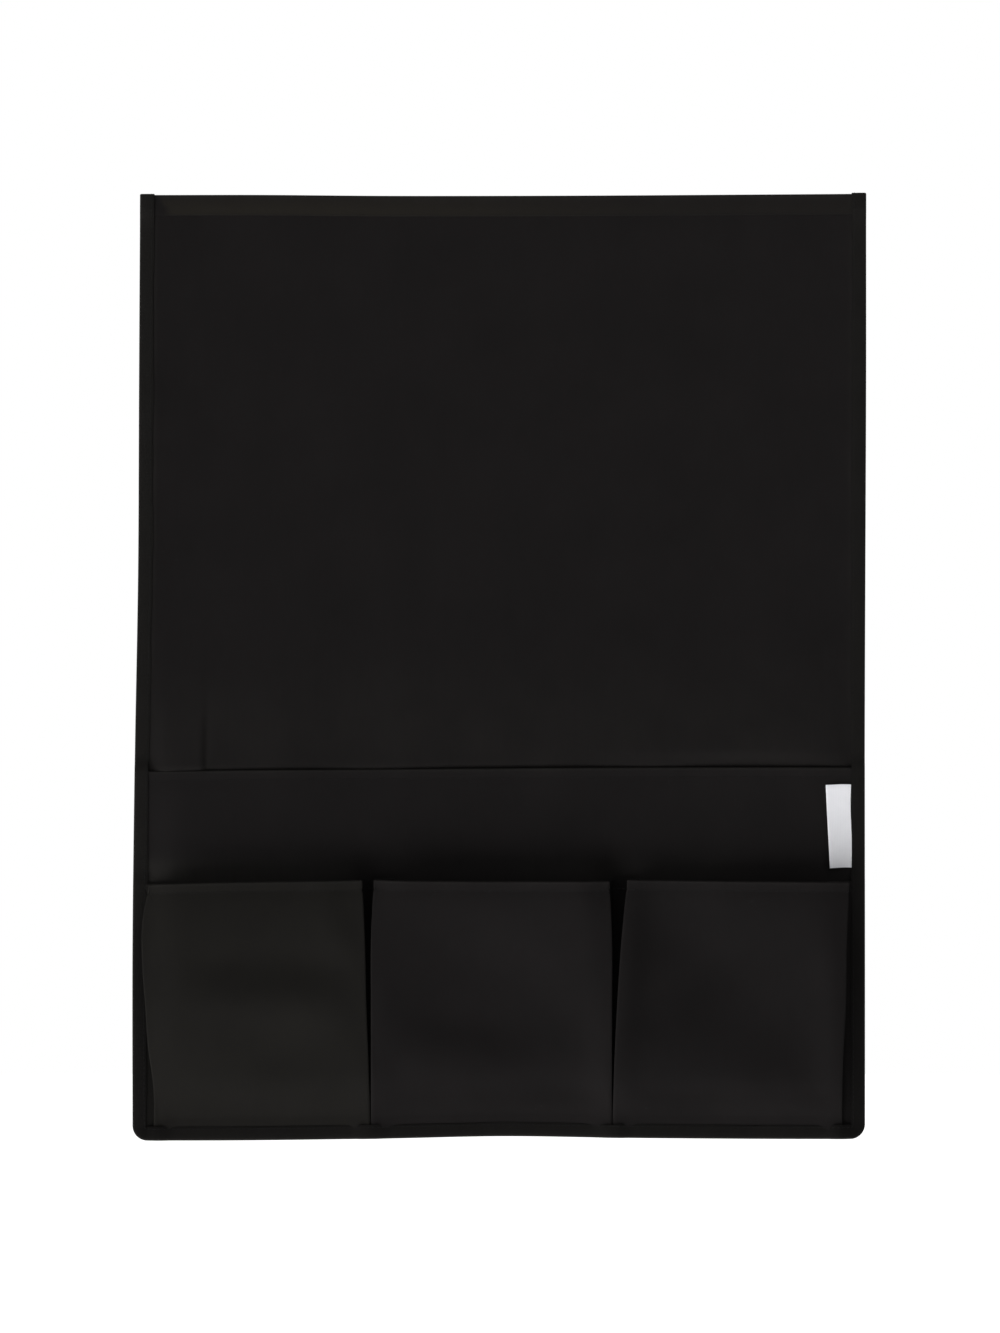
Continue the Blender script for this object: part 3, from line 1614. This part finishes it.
    def section(self, up: Array) -> tuple[Array, Array]:
        """The strip's middle line across each height, from the left seam to the right one.

        Args:
            up: Shares up the face, one for each row.

        Returns:
            Places across and depths before the back face, rows by columns.
        """
        z = SIZES.pocket_seam + up * self.tall
        left, right = (self.leaves(side, up, z) for side in (0, 1))
        face_x, face_depth = self.face(up, z, (left, right))
        x = np.concatenate([left.x, face_x, right.x[:, ::-1]], axis=1)
        depth = np.concatenate([left.depth, face_depth, right.depth[:, ::-1]], axis=1)
        for _ in range(3):
            for values in (x, depth):
                values[:, 3:-3] = 0.25 * values[:, 2:-4] + 0.5 * values[:, 3:-3] + 0.25 * values[:, 4:-2]
        return x, depth

    def face_relief(self, across: Array, up: Array) -> Array:
        """The face's belly, its soft folds and its slight unevenness.

        Args:
            across: Shares across the face.
            up: Shares up the face.

        Returns:
            How far each place stands forward.
        """
        share = np.clip(up, 0.0, 1.0)
        edge = self.relief_in
        window = ease(across, 0.0, edge) * ease(across, 1.0, 1.0 - edge) * ease(up, 0.0, edge)
        across, up = np.broadcast_arrays(across, up)
        folds = sum((fold.height(across, up) for fold in self.folds), np.zeros(across.shape))
        broad, fine = self.unevenness
        uneven = Wave(9.0, 5.0, self.phase).at(across, up) * Wave(0.0, 11.0, self.phase * 2.3).at(across, up)
        uneven = broad * uneven + fine * Wave(23.0, -17.0, self.phase).at(across, up)
        belly = self.belly * np.sin(math.pi * across) * np.sin(math.pi * share)
        return belly + (folds + uneven) * window

    def marks(self, rows: HemRows, columns: int) -> tuple[Array, Array]:
        """Where the face's edges are rubbed, and where the pleats are sheltered.

        Args:
            rows: The rows.
            columns: How many columns the grid has.

        Returns:
            The fold marks, rows by columns, and the sheltered marks, one row of columns.
        """
        column, side = np.arange(columns), self.side_count
        outer = (rows.steps < 0.5)[:, None]
        fold = np.broadcast_to(rows.fold[:, None], (len(rows.fold), columns))
        for corner in (side, columns - 1 - side):
            worn = self.edge_wear * bump(column, corner, self.edge_wear_columns)[None, :]
            fold = np.maximum(fold, worn * outer)
        at_binding, at_divider = self.sheltered
        shades = (at_binding if bound else at_divider for bound in self.bound)
        shade = np.where(column < columns // 2, *shades)
        inside = np.minimum(column, columns - 1 - column)
        begin, whole = (side - away for away in self.sheltered_columns)
        return fold, (shade * ease(inside, begin, whole))[None, :]

    def build(self, finishes: CaddyFinishes) -> Object:
        """Builds and dresses the pocket, its pleats opening and closing with its face.

        Args:
            finishes: The finishes.

        Returns:
            The pocket.
        """
        rows = self.rows()
        points, outward = self.place(rows.heights, rows.steps)
        points = points - outward * (self.groove * rows.seam * (rows.steps < 0.5))[:, None, None]
        fold, sheltered = self.marks(rows, points.shape[1])
        made = ClothGrid(points, seam=rows.seam[:, None], fold=fold, sheltered=sheltered)
        made = made.to_object(f"{self.body}_cloth", SIZES.cloth)
        finishes.dress(made, finishes.warm_pocket if self.bound[0] else finishes.pocket, "pocket_cloth")
        self.follow_face(made)
        nodes = [f"{self.body}_face", f"{self.body}_gusset_left", f"{self.body}_gusset_right"]
        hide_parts(*nodes, *(["pocket_strip_seam_allowance"] if not any(self.bound) else []))
        return made

    def place(self, heights: Array, steps: Array) -> tuple[Array, Array]:
        """Places rows of the strip, each some plies inside its outer layer.

        Args:
            heights: The rows' heights.
            steps: How many ply steps inside the outer layer each row lies.

        Returns:
            The points and the cloth's outward directions, rows by columns by 3.
        """
        up = (heights - SIZES.pocket_seam) / self.tall
        x, depth = self.section(up)
        along = np.stack([np.gradient(x, axis=1), np.gradient(depth, axis=1)], axis=-1)
        along = along / np.maximum(np.linalg.norm(along, axis=-1, keepdims=True), 1e-9)
        outward = np.stack([-along[..., 1], -along[..., 0], np.zeros(x.shape)], axis=-1)
        place = np.clip((np.arange(x.shape[1]) - self.side_count) / (self.face_columns - 1), 0.0, 1.0)
        mouth = through(self.mouth, place)[None, :] * np.clip(up, 0.0, 1.02)[:, None] ** 2
        z = above_lower_edge(x, np.broadcast_to(heights[:, None], x.shape)) + mouth
        points = np.stack([x, -depth, z], axis=-1)
        return points - outward * (steps * SIZES.ply_step)[:, None, None], outward

    def follow_face(self, made: Object) -> None:
        """Lets a piece move with the pocket's face in front, and stay on the panel at its seams."""
        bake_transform(made)

    def stitch_lines(self) -> list[StitchLine]:
        """The line that holds the hem, across the face and both pleats.

        Returns:
            The one line.
        """
        rows = self.rows()
        height = np.array([rows.heights[rows.stitch_row]])
        points, outward = self.place(height, np.zeros(1))
        points = points + outward * (SIZES.cloth / 2 - self.groove)
        inner = slice(self.flange_columns, -self.flange_columns)
        return [StitchLine(points[0, inner], outward[0, inner])]


def pleated_pockets() -> list[PleatedPocket]:
    """The three pockets, from left to right.

    Returns:
        The pockets, with their own outlines, mouths and folds.
    """
    left_seam, right_seam = SIZES.divider_seams
    outer = SIZES.binding_edge - SIZES.ply_gap - SIZES.cloth / 2
    part = (SIZES.ply_gap + SIZES.cloth) / 2
    edge = SIZES.binding_edge
    return [
        PleatedPocket(
            name="left",
            seams=(-outer, left_seam - part),
            lines=(-edge, left_seam),
            insets=(
                (0.0050, 0.0046, 0.0014, -0.0001, -0.0019, -0.0020, 0.0022),
                (0.0002, 0.0009, 0.0022, 0.0031, 0.0050),
            ),
            mouth=(-0.0012, -0.0003, 0.0008, 0.0016, 0.0020),
            folds=(
                SoftFold((0.25, 0.51), (0.86, 0.50), 0.0016, 0.010),
                SoftFold((0.30, 0.68), (0.84, 0.67), -0.0017, 0.010),
                SoftFold((0.80, 1.00), (0.90, 0.74), 0.0016, 0.009),
                SoftFold((0.10, 0.20), (0.70, 0.30), -0.0008, 0.012),
            ),
            phase=0.7,
            bound=(True, False),
        ),
        PleatedPocket(
            name="middle",
            seams=(left_seam + part, right_seam - part),
            lines=(left_seam, right_seam),
            insets=((0.0001, 0.0003, 0.0004, 0.0004, 0.0020), (0.0001, 0.0002, 0.0002, 0.0003, 0.0020)),
            mouth=(0.0023, 0.0017, 0.0013, 0.0012, 0.0013),
            folds=(
                SoftFold((0.00, 1.00), (0.99, 1.00), 0.0046, 0.023),
                SoftFold((1.00, 0.30), (0.60, 0.40), -0.0028, 0.018),
                SoftFold((0.58, 0.54), (0.45, 0.55), -0.0080, 0.029),
                SoftFold((0.98, 0.16), (0.04, 0.17), -0.0018, 0.011),
                SoftFold((0.28, 0.43), (0.54, 0.38), -0.0015, 0.010),
            ),
            phase=2.9,
            opening=2.5,
            belly=0.0008,
        ),
        PleatedPocket(
            name="right",
            seams=(right_seam + part, outer),
            lines=(right_seam, edge),
            insets=((0.0002, 0.0009, 0.0027, 0.0052, 0.0090), (0.0060, 0.0057, 0.0041, 0.0037, 0.0020)),
            mouth=(0.0023, 0.0018, 0.0012, 0.0007, 0.0004),
            folds=(
                SoftFold((0.00, 0.38), (0.71, 0.76), -0.0034, 0.014),
                SoftFold((0.57, 0.42), (0.97, 0.23), -0.0058, 0.019),
                SoftFold((0.74, 0.53), (0.24, 0.76), -0.0062, 0.022),
                SoftFold((0.31, 0.25), (0.25, 0.71), -0.0049, 0.026),
            ),
            phase=4.6,
            opening=2.5,
            slack=0.0009,
            bound=(False, True),
        ),
    ]


class Station(NamedTuple):
    """A place along the tape.

    X and z lie on the tape's outer edge, and the heading of its inward direction is in radians. Turned is how
    far the place lies inside the outermost layer of a turned end, and end is 1 in such an end.
    """

    x: float
    z: float
    heading: float
    turned: float = 0.0
    end: float = 0.0

    def mirrored(self) -> "Station":
        """The same place on the caddy's other side."""
        return self._replace(x=-self.x, heading=math.pi - self.heading)


@dataclass(frozen=True)
class EdgeBinding:
    """The binding: one tape folded over the left, bottom and right edges, with both its ends turned in.

    A pair of places, heights or distances says where a form has not begun or has faded out and where it is
    whole. Distances count from the caddy's top or bottom, the pockets' mouths or the tape's outer edge.
    Turned_back and turned_rim are the shares of a turned end's depth by which its back and rim stand in.
    """

    name: str = "edge_binding"
    end_rise: float = 0.0006
    end_turn: float = 0.009
    end_covers: Pair = (0.013, 0.010)
    end_gap: float = 0.0001
    clear_of_turn: float = 0.0012
    top_reach: float = 0.012
    fold_reach: float = 0.018
    side_steps: Floats = (0.002, 0.0045, 0.0018, 0.0035)
    corner_stations: int = 12
    bottom_step: float = 0.0045
    ramp: float = 0.006
    outer_pleat: tuple[Pair, Pair] = ((0.2080, 0.2120), (0.2205, 0.2172))
    inner_pleat: Pair = (0.0095, 0.0060)
    pleat_heights: Pair = (0.0095, 0.002)
    label_heights: tuple[Pair, Pair] = ((-0.2755, -0.271), (-0.2130, -0.217))
    label_stack: float = 0.0005
    label_narrows: Pair = (0.0001, 0.0006)
    label_narrows_between: Pair = (-0.225, -0.262)
    leg_insets: Floats = (0.0069, 0.0052, 0.0034, 0.0018)
    edge_inset: float = 0.0083
    stitch_inset: float = 0.0076
    stitch_spread: float = 0.0007
    groove: float = 0.00015
    puff: float = 0.00014
    puff_place: Pair = (0.0045, 0.0016)
    edge_dip: float = 0.00021
    edge_dip_place: Pair = (0.0079, 0.0090)
    lean: float = 0.0008
    round_inset: float = 0.0014
    nose: float = 0.0011
    rim_points: int = 9
    turned_back: float = 0.3
    turned_rim: float = 0.6
    waves: tuple[Wave, Wave] = (Wave(61.0, height=0.00022), Wave(143.0, start=1.0, height=0.00016))
    rim_wear: float = 0.5
    rim_columns: float = 2.2
    end_wear: float = 0.4
    sheltered_below: float = 0.12
    sheltered_sides: Pair = (0.42, 0.55)
    sheltered_heights: Pair = (0.004, -0.05)
    sheltered_across: Pair = (0.205, 0.222)
    sheltered_near_bottom: float = 0.012
    front_columns: Pair = (11.0, 17.0)

    def stations(self) -> list[Station]:
        """Places along the tape, from the left top corner round to the right one.

        Returns:
            The places.
        """
        turn = SIZES.ply_step / 2
        end = SIZES.top + self.end_rise - SIZES.tape / 2 - turn
        tuck = np.linspace(end - self.end_turn, end, 4)[:-1]
        angles = np.linspace(0.0, math.pi, 8)
        heights = np.concatenate([tuck, end + turn * np.sin(angles)])
        turned = np.concatenate([np.ones(len(tuck)), (1 + np.cos(angles)) / 2]) * SIZES.ply_step
        lower = SIZES.bottom + SIZES.corner_radius
        centre = SIZES.edge - SIZES.corner_radius
        stops = (
            end - self.clear_of_turn,
            end - self.top_reach,
            SIZES.fold + self.fold_reach,
            SIZES.fold - self.fold_reach,
            lower,
        )
        half = [Station(-SIZES.edge, z, 0.0, depth, 1.0) for z, depth in zip(heights, turned)]
        half += [Station(-SIZES.edge, z, 0.0) for z in graded(stops, self.side_steps)]
        for angle in np.linspace(0.0, math.pi / 2, self.corner_stations):
            x = -centre - SIZES.corner_radius * math.cos(angle)
            half.append(Station(x, lower - SIZES.corner_radius * math.sin(angle), angle))
        half += [Station(x, SIZES.bottom, math.pi / 2) for x in spread(-centre, 0.0, self.bottom_step)[1:]]
        middle = [Station(0.0, SIZES.bottom, math.pi / 2)]
        return half + middle + [station.mirrored() for station in reversed(half)]

    def stack(self, x: float, z: float) -> float:
        """Thickness of the cloth that the tape is folded over.

        Args:
            x: Place of the tape's outer edge across the caddy.
            z: Its height.

        Returns:
            The thickness, with a slight swelling where the label is caught.
        """
        hem_edge = SIZES.top - SIZES.flap_hem
        thick = SIZES.cloth + (SIZES.hem_stack - SIZES.cloth) * ease(z, hem_edge - self.ramp, hem_edge)
        covers, whole = self.end_covers
        thick = thick + ease(z, SIZES.top - covers, SIZES.top - whole) * (SIZES.tape + self.end_gap)
        magazine = ease(z, SIZES.magazine_mouth + self.ramp, SIZES.magazine_mouth)
        strip = ease(z, SIZES.pocket_mouth + self.ramp, SIZES.pocket_mouth)
        thick = thick + magazine * (SIZES.magazine_front - SIZES.cloth)
        thick = thick + strip * (SIZES.strip_front - SIZES.magazine_front)
        low = ease(z - SIZES.bottom, *self.pleat_heights)
        thick = thick + 2 * SIZES.ply_step * self.pleated(x) * low
        return float(thick + self.label_stack * self.caught(x, z))

    def pleated(self, x: float) -> float:
        """Where the bottom seam holds the two more layers of a pleat.

        Args:
            x: Place across.

        Returns:
            The share, from 0 to 1.
        """
        begin, end = self.outer_pleat
        outer = ease(abs(x), *begin) * ease(abs(x), *end)
        left, right = (ease(abs(x - seam), *self.inner_pleat) for seam in SIZES.divider_seams)
        return float(outer + left + right)

    def beside_pockets(self, places: Array) -> Array:
        """How sheltered the front leg is beside the standing pockets, where less dust and wear reach it.

        Args:
            places: Places along the tape, as x and height.

        Returns:
            The shares, a little larger on the right and small along the bottom.
        """
        x, z = places[:, 0], places[:, 1]
        beside = ease(z - SIZES.pocket_mouth, *self.sheltered_heights)
        beside = beside * ease(np.abs(x), *self.sheltered_across)
        below = ease(z, SIZES.bottom + self.sheltered_near_bottom, SIZES.bottom)
        left, right = self.sheltered_sides
        return self.sheltered_below * below + beside * np.where(x > 0, right, left)

    def caught(self, x: float, z: float) -> float:
        """Where the tape holds the label."""
        lower, upper = self.label_heights
        return float(ease(z, *lower) * ease(z, *upper) * (x > 0))

    def leaning(self, inset: Array | float, heading: float) -> Array:
        """How much further forward the front leg stands along the bottom, more towards its outer edge."""
        return self.lean * math.sin(heading) ** 4 * (1 - np.asarray(inset) / SIZES.binding)

    def profile(self, station: Station, uneven: float) -> tuple[Array, Array, Array]:
        """The tape's middle line across, from the inner edge of its back leg round to that of its front leg.

        Args:
            station: The place along the tape.
            uneven: How far the inner edges stray.

        Returns:
            Distances from the outer edge, depths before the back face, and the marks of the stitches.
        """
        turned, half_tape = station.turned, SIZES.tape / 2
        legs = np.array([SIZES.binding + uneven, self.edge_inset, self.stitch_inset, *self.leg_insets])
        back = -half_tape + turned * self.turned_back
        front = self.stack(station.x, station.z) + SIZES.ply_gap + half_tape - turned
        rounded = front + float(self.leaning(self.round_inset, station.heading))
        middle, half = (back + rounded) / 2, (rounded - back) / 2
        angles = np.linspace(-math.pi / 2, math.pi / 2, self.rim_points)
        rim = half_tape + turned * self.turned_rim + min(self.nose, half) * (1 - np.cos(angles))
        seam = bump(legs, self.stitch_inset, self.stitch_spread)
        puff = self.puff * bump(legs, *self.puff_place) - self.edge_dip * ease(legs, *self.edge_dip_place)
        back_leg = back - puff + self.groove * seam
        front_leg = front + self.leaning(legs, station.heading) + puff - self.groove * seam
        inset = np.concatenate([legs, rim, legs[::-1]])
        depth = np.concatenate([back_leg, middle + half * np.sin(angles), front_leg[::-1]])
        return inset, depth, np.concatenate([seam, np.zeros(len(angles)), seam[::-1]])

    def build(self, finishes: CaddyFinishes) -> Object:
        """Builds and dresses the tape, bending where the caddy folds.

        Args:
            finishes: The finishes.

        Returns:
            The tape.
        """
        stations = self.stations()
        rows, seams = [], []
        travelled = 0.0
        for number, station in enumerate(stations):
            if number:
                before = stations[number - 1]
                travelled += math.hypot(station.x - before.x, station.z - before.z)
            least, more = self.label_narrows
            narrowed = least + more * ease(station.z, *self.label_narrows_between)
            uneven = sum(wave.at(travelled, 0.0) for wave in self.waves)
            inset, depth, seam = self.profile(station, uneven - self.caught(station.x, station.z) * narrowed)
            across, upward = math.cos(station.heading), math.sin(station.heading)
            rows.append(np.stack([station.x + inset * across, -depth, station.z + inset * upward], axis=-1))
            seams.append(seam)
        points, column = np.array(rows), np.arange(len(seams[0]))
        rim = bump(column, column[-1] / 2, self.rim_columns)[None, :]
        ends = np.array([station.end for station in stations])[:, None]
        front = ease(column, *self.front_columns)[None, :]
        sheltered = front * self.beside_pockets(np.array([station[:2] for station in stations]))[:, None]
        fold = np.maximum(self.rim_wear * rim, self.end_wear * ends)
        made = ClothGrid(points, seam=np.array(seams), fold=fold, sheltered=sheltered)
        made = made.to_object(self.name, SIZES.tape)
        finishes.dress(made, finishes.binding, "binding_tape")
        across_fold(made)
        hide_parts("tuck_flap_binding_left", "tuck_flap_binding_right", "lower_edge_binding")
        plain_place = 40
        across = float(np.linalg.norm(np.diff(points[plain_place], axis=0), axis=1).sum())
        return made

    def stitch_lines(self) -> list[StitchLine]:
        """The line that holds the tape.

        Returns:
            The line on its front leg and the line on its back leg.
        """
        inset, lines = self.stitch_inset, []
        stations = [station for station in self.stations() if station.turned == 0.0]
        for outward in (-1.0, 1.0):
            points = []
            for station in stations:
                leaning = float(self.leaning(inset, station.heading))
                raised = self.stack(station.x, station.z) + SIZES.ply_gap + SIZES.tape + leaning
                depth = raised - self.groove if outward < 0 else -(SIZES.tape - self.groove)
                across, upward = math.cos(station.heading), math.sin(station.heading)
                points.append((station.x + inset * across, -depth, station.z + inset * upward))
            lines.append(StitchLine.level(np.array(points), outward))
        return lines


@dataclass(frozen=True)
class SideLabel:
    """The bare woven label: a folded loop whose ends are caught under the right binding."""

    name: str = "woven_label"
    top_clear: float = 0.010
    bottom_clear: float = 0.009
    width: float = 0.0164
    narrowing: float = 0.0024
    ply: float = 0.00024
    parted: float = 0.0004
    root: float = 0.0036
    under_tape: float = 0.0006
    seam_stand: float = 0.0005
    top_stand: float = 0.0007
    bottom_stand: float = 0.0034
    springs: float = 1.25
    bow: float = 0.0004
    bow_on_top: float = 0.4
    closed_share: float = 0.3
    edge_wave: Wave = Wave(300.0, height=0.0002)
    end_wear: float = 0.02
    rows: int = 19
    columns: int = 13

    def build(self, finishes: CaddyFinishes) -> Object:
        """Builds and dresses the label, standing off the cloth more at its lower end.

        Args:
            finishes: The finishes.

        Returns:
            The label.
        """
        share = np.linspace(0.0, 1.0, self.rows)[:, None]
        height = (SIZES.magazine_mouth - self.top_clear) * (1 - share)
        height = height + (SIZES.pocket_mouth + self.bottom_clear) * share
        wide = self.width - self.narrowing * share
        held, seen = np.linspace(-self.root, 0.0, 3)[:-1], np.linspace(0.0, 1.0, self.columns)
        out = np.concatenate([held, seen])[None, :]
        reach = np.where(out < 0, out, out * wide)
        start = SIZES.binding_edge + self.under_tape
        seam = magazine_depth(np.array(start), height) + self.seam_stand
        free = magazine_depth(start - wide, height) + self.top_stand
        free = free + (self.bottom_stand - self.top_stand) * share**2
        lean = np.clip(reach / wide, 0.0, 1.0)
        bow = self.bow * np.sin(lean * math.pi) * (self.bow_on_top + share)
        depth = seam + (free - seam) * lean**self.springs + bow
        x = start - reach
        angles = np.linspace(0.0, math.pi, 5)[None, 1:-1]
        half = self.parted / 2
        loop = half * (self.closed_share + (1 - self.closed_share) * np.clip(lean * 3, 0.0, 1.0))
        turn_x = x[:, -1:] - half * np.sin(angles)
        turn_depth = depth[:, -1:] + half * np.cos(angles)
        across = np.concatenate([x, turn_x, x[:, ::-1]], axis=1)
        deep = np.concatenate([depth + loop, turn_depth, (depth - loop)[:, ::-1]], axis=1)
        up = height + self.edge_wave.at(start - across, height)
        points = np.stack([across, -deep, up], axis=-1)
        fold = np.maximum(bump(share, 0.0, self.end_wear), bump(share, 1.0, self.end_wear))
        made = ClothGrid(points, fold=fold).to_object(self.name, self.ply)
        finishes.dress(made, finishes.label, "label_weave")
        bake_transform(made)
        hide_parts("side_label")
        return made


# The studio


@dataclass(frozen=True)
class Sun:
    """A broad distant light.

    Towards is the direction from the caddy to it, level says how bright it makes a white surface that faces
    it, and softness is its spread in degrees.
    """

    name: str
    towards: tuple[float, float, float]
    level: float
    softness: float

    def build(self) -> None:
        """Adds the light."""
        data = bpy.data.lights.new(self.name, "SUN")
        data.energy = math.pi * self.level
        data.angle = math.radians(self.softness)
        made = bpy.data.objects.new(self.name, data)
        made.rotation_mode = "QUATERNION"
        made.rotation_quaternion = (-Vector(self.towards)).to_track_quat("-Z", "Y")
        bpy.context.scene.collection.objects.link(made)


@dataclass(frozen=True)
class Studio:
    """A plain pale floor, soft plain light and the camera of the front view."""

    lens: float = 150.0
    sensor: float = 36.0
    seen_height: float = 0.8505
    centre: Pair = (0.0006, -0.1423)
    farthest: float = 50.0
    sky: float = 0.25
    suns: tuple[Sun, ...] = (
        Sun("key light", (-0.50, -0.27, -0.82), 2.03, 80.0),
        Sun("fill light", (0.30, -0.80, 0.40), 0.14, 80.0),
        Sun("rear light", (0.45, 0.72, 0.52), 0.5, 40.0),
    )
    floor_height: float = -0.62
    floor_radius: float = 3.0
    floor_sides: int = 96
    floor_tones: Pair = (0.93, 0.97)
    floor_grain: float = 3.0
    floor_glow: float = 0.62

    def build(self) -> None:
        """Makes the camera, the lights, the surroundings and the floor."""
        bpy.context.scene.view_settings.view_transform = "Standard"
        self._camera()
        for sun in self.suns:
            sun.build()
        self._surroundings()
        self._floor()
        log.info("studio: camera %.0f mm, sky %.2f, %d lights", self.lens, self.sky, len(self.suns))

    def _camera(self) -> None:
        """Places the camera straight before the caddy, as far off as its view needs."""
        data = bpy.data.cameras.new("camera")
        data.lens = self.lens
        data.sensor_width = self.sensor
        data.clip_end = self.farthest
        away = self.seen_height * self.lens / self.sensor
        made = bpy.data.objects.new("camera", data)
        made.location = (self.centre[0], -away, self.centre[1])
        made.rotation_euler = (math.pi / 2, 0.0, 0.0)
        bpy.context.scene.collection.objects.link(made)
        bpy.context.scene.camera = made

    @staticmethod
    def _seen(bench: NodeBench) -> NodeSocket:
        """A mask of the rays that show the background: straight from the camera, mirrored or let through.

        Args:
            bench: The bench of the tree that needs it.

        Returns:
            The mask's socket.
        """
        ray = bench.add("ShaderNodeLightPath").outputs
        mirrored = bench.math("MAXIMUM", ray["Is Glossy Ray"], ray["Is Transmission Ray"])
        return bench.math("MAXIMUM", ray["Is Camera Ray"], mirrored)

    def _surroundings(self) -> None:
        """Fills the surroundings with even light, which the camera sees as white."""
        world = bpy.data.worlds.new("surroundings")
        world.use_nodes = True
        world.node_tree.nodes.clear()
        bench = NodeBench(world.node_tree)
        light = bench.add("ShaderNodeBackground", grey(1.0), self.sky)
        white = bench.add("ShaderNodeBackground", grey(1.0), 1.0)
        mixed = bench.add("ShaderNodeMixShader", self._seen(bench), light.outputs[0], white.outputs[0])
        bench.add("ShaderNodeOutputWorld", mixed.outputs[0])
        bpy.context.scene.world = world

    def _floor(self) -> None:
        """Lays the floor, which takes the caddy's shadow and lets the light from below pass."""
        mesh = bpy.data.meshes.new("floor")
        shape = bmesh.new()
        bmesh.ops.create_circle(shape, cap_ends=True, segments=self.floor_sides, radius=self.floor_radius)
        bmesh.ops.translate(shape, verts=shape.verts, vec=(0.0, 0.0, self.floor_height))
        shape.to_mesh(mesh)
        shape.free()
        floor = bpy.data.objects.new("floor", mesh)
        bpy.context.scene.collection.objects.link(floor)
        paint = bpy.data.materials.new("pale floor")
        paint.use_nodes = True
        paint.node_tree.nodes.clear()
        bench = NodeBench(paint.node_tree)
        grain = bench.noise(bench.add("ShaderNodeTexCoord").outputs["Object"], self.floor_grain)
        tone = bench.mix(grain.outputs["Fac"], *(grey(level) for level in self.floor_tones))
        matt = bench.add("ShaderNodeBsdfDiffuse", tone)
        strength = bench.math("MULTIPLY", self._seen(bench), self.floor_glow)
        glow = bench.add("ShaderNodeEmission", grey(1.0), strength)
        both = bench.add("ShaderNodeAddShader", matt.outputs[0], glow.outputs[0])
        bench.add("ShaderNodeOutputMaterial", both.outputs[0])
        mesh.materials.append(paint)
        floor.visible_shadow = False
        floor.visible_diffuse = False


# Putting it together


def main() -> None:
    """Builds the studio and the caddy's pieces in order."""
    logging.basicConfig(level=logging.INFO, format="%(name)s: %(message)s")
    Studio().build()
    finishes = CaddyFinishes()
    cloth, magazine, binding, label = BackCloth(), MagazinePocket(), EdgeBinding(), SideLabel()
    pockets = pleated_pockets()
    cloth.build(finishes)
    magazine.build(finishes)
    for pocket in pockets:
        pocket.build(finishes)
    binding.build(finishes)
    label.build(finishes)
    stitcher = RunningStitch(finishes)
    hem = stitcher.sew("flap_hem_stitching", cloth.stitch_lines(), seed=11)
    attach(hem, Stage.FLAP.value)
    mouth = stitcher.sew("magazine_hem_stitching", magazine.stitch_lines(), seed=12)
    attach(mouth, Stage.PANEL.value)
    edge = stitcher.sew("binding_stitching", binding.stitch_lines(), seed=13)
    across_fold(edge)
    for number, pocket in enumerate(pockets):
        line = stitcher.sew(f"{pocket.body}_hem_stitching", pocket.stitch_lines(), seed=14 + number)
        pocket.follow_face(line)


if __name__ == "__main__":
    main()
